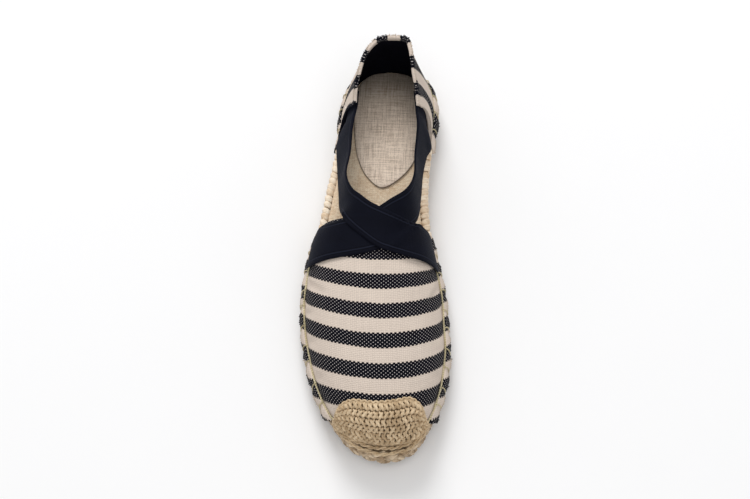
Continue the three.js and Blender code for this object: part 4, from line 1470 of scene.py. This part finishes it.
CAP_COLUMNS = 96
CAP_SAMPLES = 60
CAP_BASE = 1.1  # how far the fabric behind the stitches, and the stitches' feet, lie off the vamp
CAP_FACE = 2.0
CAP_CENTRE = np.array([201, 5.0, 5.0])  # inside the toe: the cap's outwards points away from it
CAP_FINE = (240, 80)  # steps of the grid that the cords and stitches are placed on
RIM_OUT = 1.6
STITCH_AT = np.linspace(0.09, 0.845, 6)  # rows of stitches, from the cap's rear edge to its bottom
STITCH_WIDE = 2.9
STITCH_TUBE = 0.95
STITCH_POINTS = 9
STITCH_ROOM = 2.7  # distance between rows that leaves room for a stitch of full size
STITCH_LEAST = 0.42  # no stitch where there is less than this share of it
# A stitch is two strokes: thickness, and places along the row, across it and up off the face
STROKES = (
    (
        1.0,
        [(-0.42, 0.42, -0.5), (-0.27, 0.22, 0.5), (-0.02, -0.01, 0.85), (0.22, -0.2, 0.5),
         (0.36, -0.42, -0.6)],
    ),
    (
        0.8,
        [(0.44, 0.34, -0.4), (0.3, 0.14, 0.3), (0.1, -0.08, 0.3), (-0.16, -0.3, 0.2), (-0.3, -0.5, -0.6)],
    ),
)
# Cords over the cap: place from rear edge to bottom, height, radius, weave and pitch
CAP_CORDS = (
    (0.0, 0.2, 0.62, 0.62, 6.4),
    (0.03, 0.1, 0.5, 0.35, 7.4),
    (0.93, 0.45, 0.6, 0.3, 9.5),
    (0.975, 0.5, 0.6, 0.3, 9.5),
)
# Cords on the sole round the toe: level from the cap's foot, 0, to the sole's edge, 1, radius, pitch
RIM_CORDS = ((0.05, 0.52, 9.0), (0.4, 0.6, 8.2), (0.78, 0.6, 10.0))


def cap_edges():
    """The cap's rear edge up to the foot line in plan, and where it meets that round the outline."""
    edge = Spline(np.stack([CAP_EDGE["s"], CAP_EDGE["x"]], 1))
    line = edge.at(edge.even(np.linspace(0, 1, 801)))
    past_outer = line[:, 1] < foot_at("outer", line[:, 0], 0)[0]
    past_inner = line[:, 1] > foot_at("inner", line[:, 0], 0)[0]
    line = line[np.nonzero(past_outer)[0].max() + 1 : np.nonzero(past_inner)[0].min()]
    start = foot_at("outer", line[0, 0], 0)[1]
    end = foot_at("inner", line[-1, 0], 0)[1]
    return Spline(line[:: len(line) // 40]), start, end


CAP_REAR, CAP_START, CAP_STOP = cap_edges()


def cap_grid(a, r, lift):
    """Points of the cap: a from the outer to the inner corner, r from rear edge to bottom."""
    rear = CAP_REAR.at(CAP_REAR.even(a))
    around = lerp(CAP_START, CAP_STOP, a)
    foot = np.stack(foot_point(around, GAP + lift), -1)
    t = 1 - (1 - np.linspace(0, 1, CAP_SAMPLES)) ** 2
    plan = lerp(rear[:, None], foot[:, None], t[None, :, None])
    lines = raised(plan, form_z(plan[..., 0], plan[..., 1], GAP + lift))
    made = []
    for line in lines:
        run = lengths(line)
        made.append([[np.interp(share * run[-1], run, line[:, axis]) for axis in range(3)] for share in r])
    return np.array(made)


def make_cap_base():
    """The closed fabric behind the stitches, in darker jute colours that paint the shade in the holes
    between them.
    """
    a = np.linspace(0, 1, CAP_COLUMNS + 1)
    r = np.linspace(0, 0.985, 34)
    outside = cap_grid(a, r, CAP_BASE)
    inside = cap_grid(a, r, 0.15)
    ones = np.ones(outside.shape[:2])
    run = lengths_across(outside)
    # The low tone darkens it further, adding to the painted shade.
    fields = {"along": run, "turn": ones * a[:, None] * 20, "tone": ones * 0.1}
    points, faces, fields, _ = shell(outside, inside, fields)
    add_piece("cap_base", points, faces, [CAP_SHADE], "toe_cap", fields)


def make_stitches():
    """Rows of knots: a plump slanting stroke over a thinner one, slanting the other way each row."""
    step = STITCH_AT[1] - STITCH_AT[0]
    dense = np.linspace(0, 1, 400)
    fine = np.linspace(0, 1, STITCH_POINTS)
    places, tones, sizes = [], [], []
    for number, r in enumerate(STITCH_AT):
        line, below = cap_grid(dense, [r, r + step * 0.9], CAP_FACE).swapaxes(0, 1)
        run = lengths(line)
        spacing = np.linalg.norm(below - line, axis=-1)
        count = int(run[-1] / STITCH_WIDE)
        mirror = 1 if number % 2 else -1
        for k in range(count):
            place = (k + 0.5 + 0.25 * mirror) / count
            a0 = np.interp(place * run[-1], run, dense)
            room = min(1, np.interp(a0, dense, spacing) / STITCH_ROOM)
            if room < STITCH_LEAST:
                continue
            wide = STITCH_WIDE / run[-1] * rng.uniform(0.95, 1.08)
            shift = rng.normal(0, 0.04)
            for thickness, stroke in STROKES:
                along, across, height = (Spline(stroke).at(fine) * (mirror, 1, 1)).T
                places.append(np.stack([a0 + (along + shift) * wide, r + across * step, height * room], 1))
                tones.append(rng.random())
                sizes.append(STITCH_TUBE * thickness * room**0.8 * rng.uniform(0.92, 1.08))
    a, r, height = np.concatenate(places).T
    placed = cap_points(np.clip(a, 0.001, 0.999), np.clip(r, 0, 0.99), height)
    placed = placed.reshape(len(places), STITCH_POINTS, 3)
    return tubes(placed, np.array(sizes), placed - CAP_CENTRE, taper=0.55, tone=np.array(tones))


def cap_points(a, r, height):
    """Single points of the cap at a, r, lifted off its face along the local normal."""
    surface = cap_grid(*(np.linspace(0, 1, steps + 1) for steps in CAP_FINE), CAP_FACE)
    normals = grid_normals(surface)
    normals *= np.sign(np.einsum("ijk,ijk->ij", normals, surface - CAP_CENTRE))[..., None]
    ia, ir = (np.clip(share * steps, 0, steps - 0.001) for share, steps in zip((a, r), CAP_FINE))
    i, j = ia.astype(int), ir.astype(int)
    fa, fr = (ia - i)[:, None], (ir - j)[:, None]

    def sample(grid):
        low = lerp(grid[i, j], grid[i + 1, j], fa)
        high = lerp(grid[i, j + 1], grid[i + 1, j + 1], fa)
        return lerp(low, high, fr)

    return sample(surface) + sample(normals) * height[:, None]


def cap_cord(r, height, radius, weave, pitch):
    """A cord along the cap at r: two plies that weave sideways and in and out like a chain."""
    a = np.linspace(0, 1, 260)
    line = cap_points(a, np.full_like(a, r), np.full_like(a, height))
    up = line - CAP_CENTRE
    side, normal = frames(line, up)
    made = []
    for start in (0, np.pi):
        angle = (2 * np.pi * lengths(line) / pitch + start)[:, None]
        made.append(line + side * (np.sin(angle) * weave) + normal * (np.cos(angle * 2) * weave * 0.45))
    return tubes(made, radius, np.stack([up, up]))


def rim_cord(level, radius, pitch):
    """A cord of two plies on the sole round the toe, waving a little both ways."""
    around = np.linspace(CAP_START + 0.004, CAP_STOP - 0.004, 300)
    wave = 0.25 * np.sin(around * 210 + level * 9)
    foot = FOOT_INSET + setback(around) - RIM_OUT
    s, x = inset_point(OUTLINE_CURVE, around, lerp(foot, 0.4, level) + wave)
    z = sole_top(s) + lerp(1.7, -0.9, level**1.3) + 0.2 * np.sin(around * 170 + level * 5)
    path = np.stack([s, x, z], -1)
    return tubes(twisted(path, UP, radius, pitch), radius, UP)


def make_crochet():
    """The cap's stitches, the cords that edge it and the cords between it and the sole."""
    parts = [make_stitches()]
    parts += [cap_cord(*cord) for cord in CAP_CORDS]
    parts += [rim_cord(*cord) for cord in RIM_CORDS]
    points, faces, fields = gather(*parts)
    add_piece("cap_crochet", points, faces, [CROCHET_JUTE], "toe_cap", fields, join=False)


# ---------------------------------------------------------------- camera, light and floor

# The photo's viewing angle, fitted to the shoe's outline
CAMERA_PLACE = (0.055, -0.391, 0.881)
CAMERA_ELEVATION = math.radians(65.02)
CAMERA_AZIMUTH = math.radians(1.703)
TURN_LEFT = math.radians(2.74)
TURN_DOWN = math.radians(0.43)
CAMERA_LENS = 77.26
SENSOR = 36.0
FLOOR_REACH = 6.0


def make_camera():
    """A camera above the toe that looks down and back along the shoe."""
    data = bpy.data.cameras.new("camera")
    data.lens = CAMERA_LENS
    data.sensor_width = SENSOR
    camera = bpy.data.objects.new("camera", data)
    bpy.context.scene.collection.objects.link(camera)
    aim = Matrix.Rotation(CAMERA_AZIMUTH, 4, "Z") @ Matrix.Rotation(math.pi / 2 - CAMERA_ELEVATION, 4, "X")
    turn = Matrix.Rotation(TURN_LEFT, 4, "Y") @ Matrix.Rotation(-TURN_DOWN, 4, "X")
    camera.matrix_world = Matrix.Translation(CAMERA_PLACE) @ aim @ turn
    bpy.context.scene.camera = camera


def make_floor():
    """A plain pale floor."""
    mesh = bpy.data.meshes.new("floor")
    corners = [(x * FLOOR_REACH, y * FLOOR_REACH, 0) for x, y in ((-1, -1), (1, -1), (1, 1), (-1, 1))]
    mesh.from_pydata(corners, [], [(0, 1, 2, 3)])
    m = Surface("studio_floor", roughness=0.9, specular=0.1)
    x, y, z = m.place()
    patch = m.noise(x, y, z, scale=0.02)
    mesh.materials.append(m.finish(m.mix(patch, (0.93, 0.93, 0.935), (0.94, 0.94, 0.945))))
    floor = bpy.data.objects.new("floor", mesh)
    bpy.context.scene.collection.objects.link(floor)


def make_area(name, place, size, power):
    """A square area light of some size in metres and power in watts, aimed at the part's middle."""
    data = bpy.data.lights.new(name, "AREA")
    data.size = size
    data.energy = power
    light = bpy.data.objects.new(name, data)
    bpy.context.scene.collection.objects.link(light)
    light.rotation_euler = (-Vector(place)).to_track_quat("-Z", "Y").to_euler()
    light.location = place


def make_light():
    """An even white surround, a soft key from behind and a softer fill from above the toe."""
    world = bpy.data.worlds.new("studio")
    world.use_nodes = True
    background = world.node_tree.nodes["Background"]
    background.inputs["Color"].default_value = (1, 1, 1, 1)
    background.inputs["Strength"].default_value = 0.5
    bpy.context.scene.world = world
    make_area("key", (-0.35, 1.55, 1.6), 1.0, 27)
    make_area("fill", (0.25, -0.7, 1.9), 1.6, 11)
    bpy.context.scene.view_settings.view_transform = "Standard"


make_camera()
make_floor()
make_light()
make_sole_core()
make_sole_braid()
make_edge_loops()
make_insole()
make_heel_pad()
vamp, vamp_along = make_vamp()
quarter, quarter_along = make_quarter()
make_bands()
make_yarn()
make_fringe(vamp, vamp_along, quarter, quarter_along)
make_cap_base()
make_crochet()
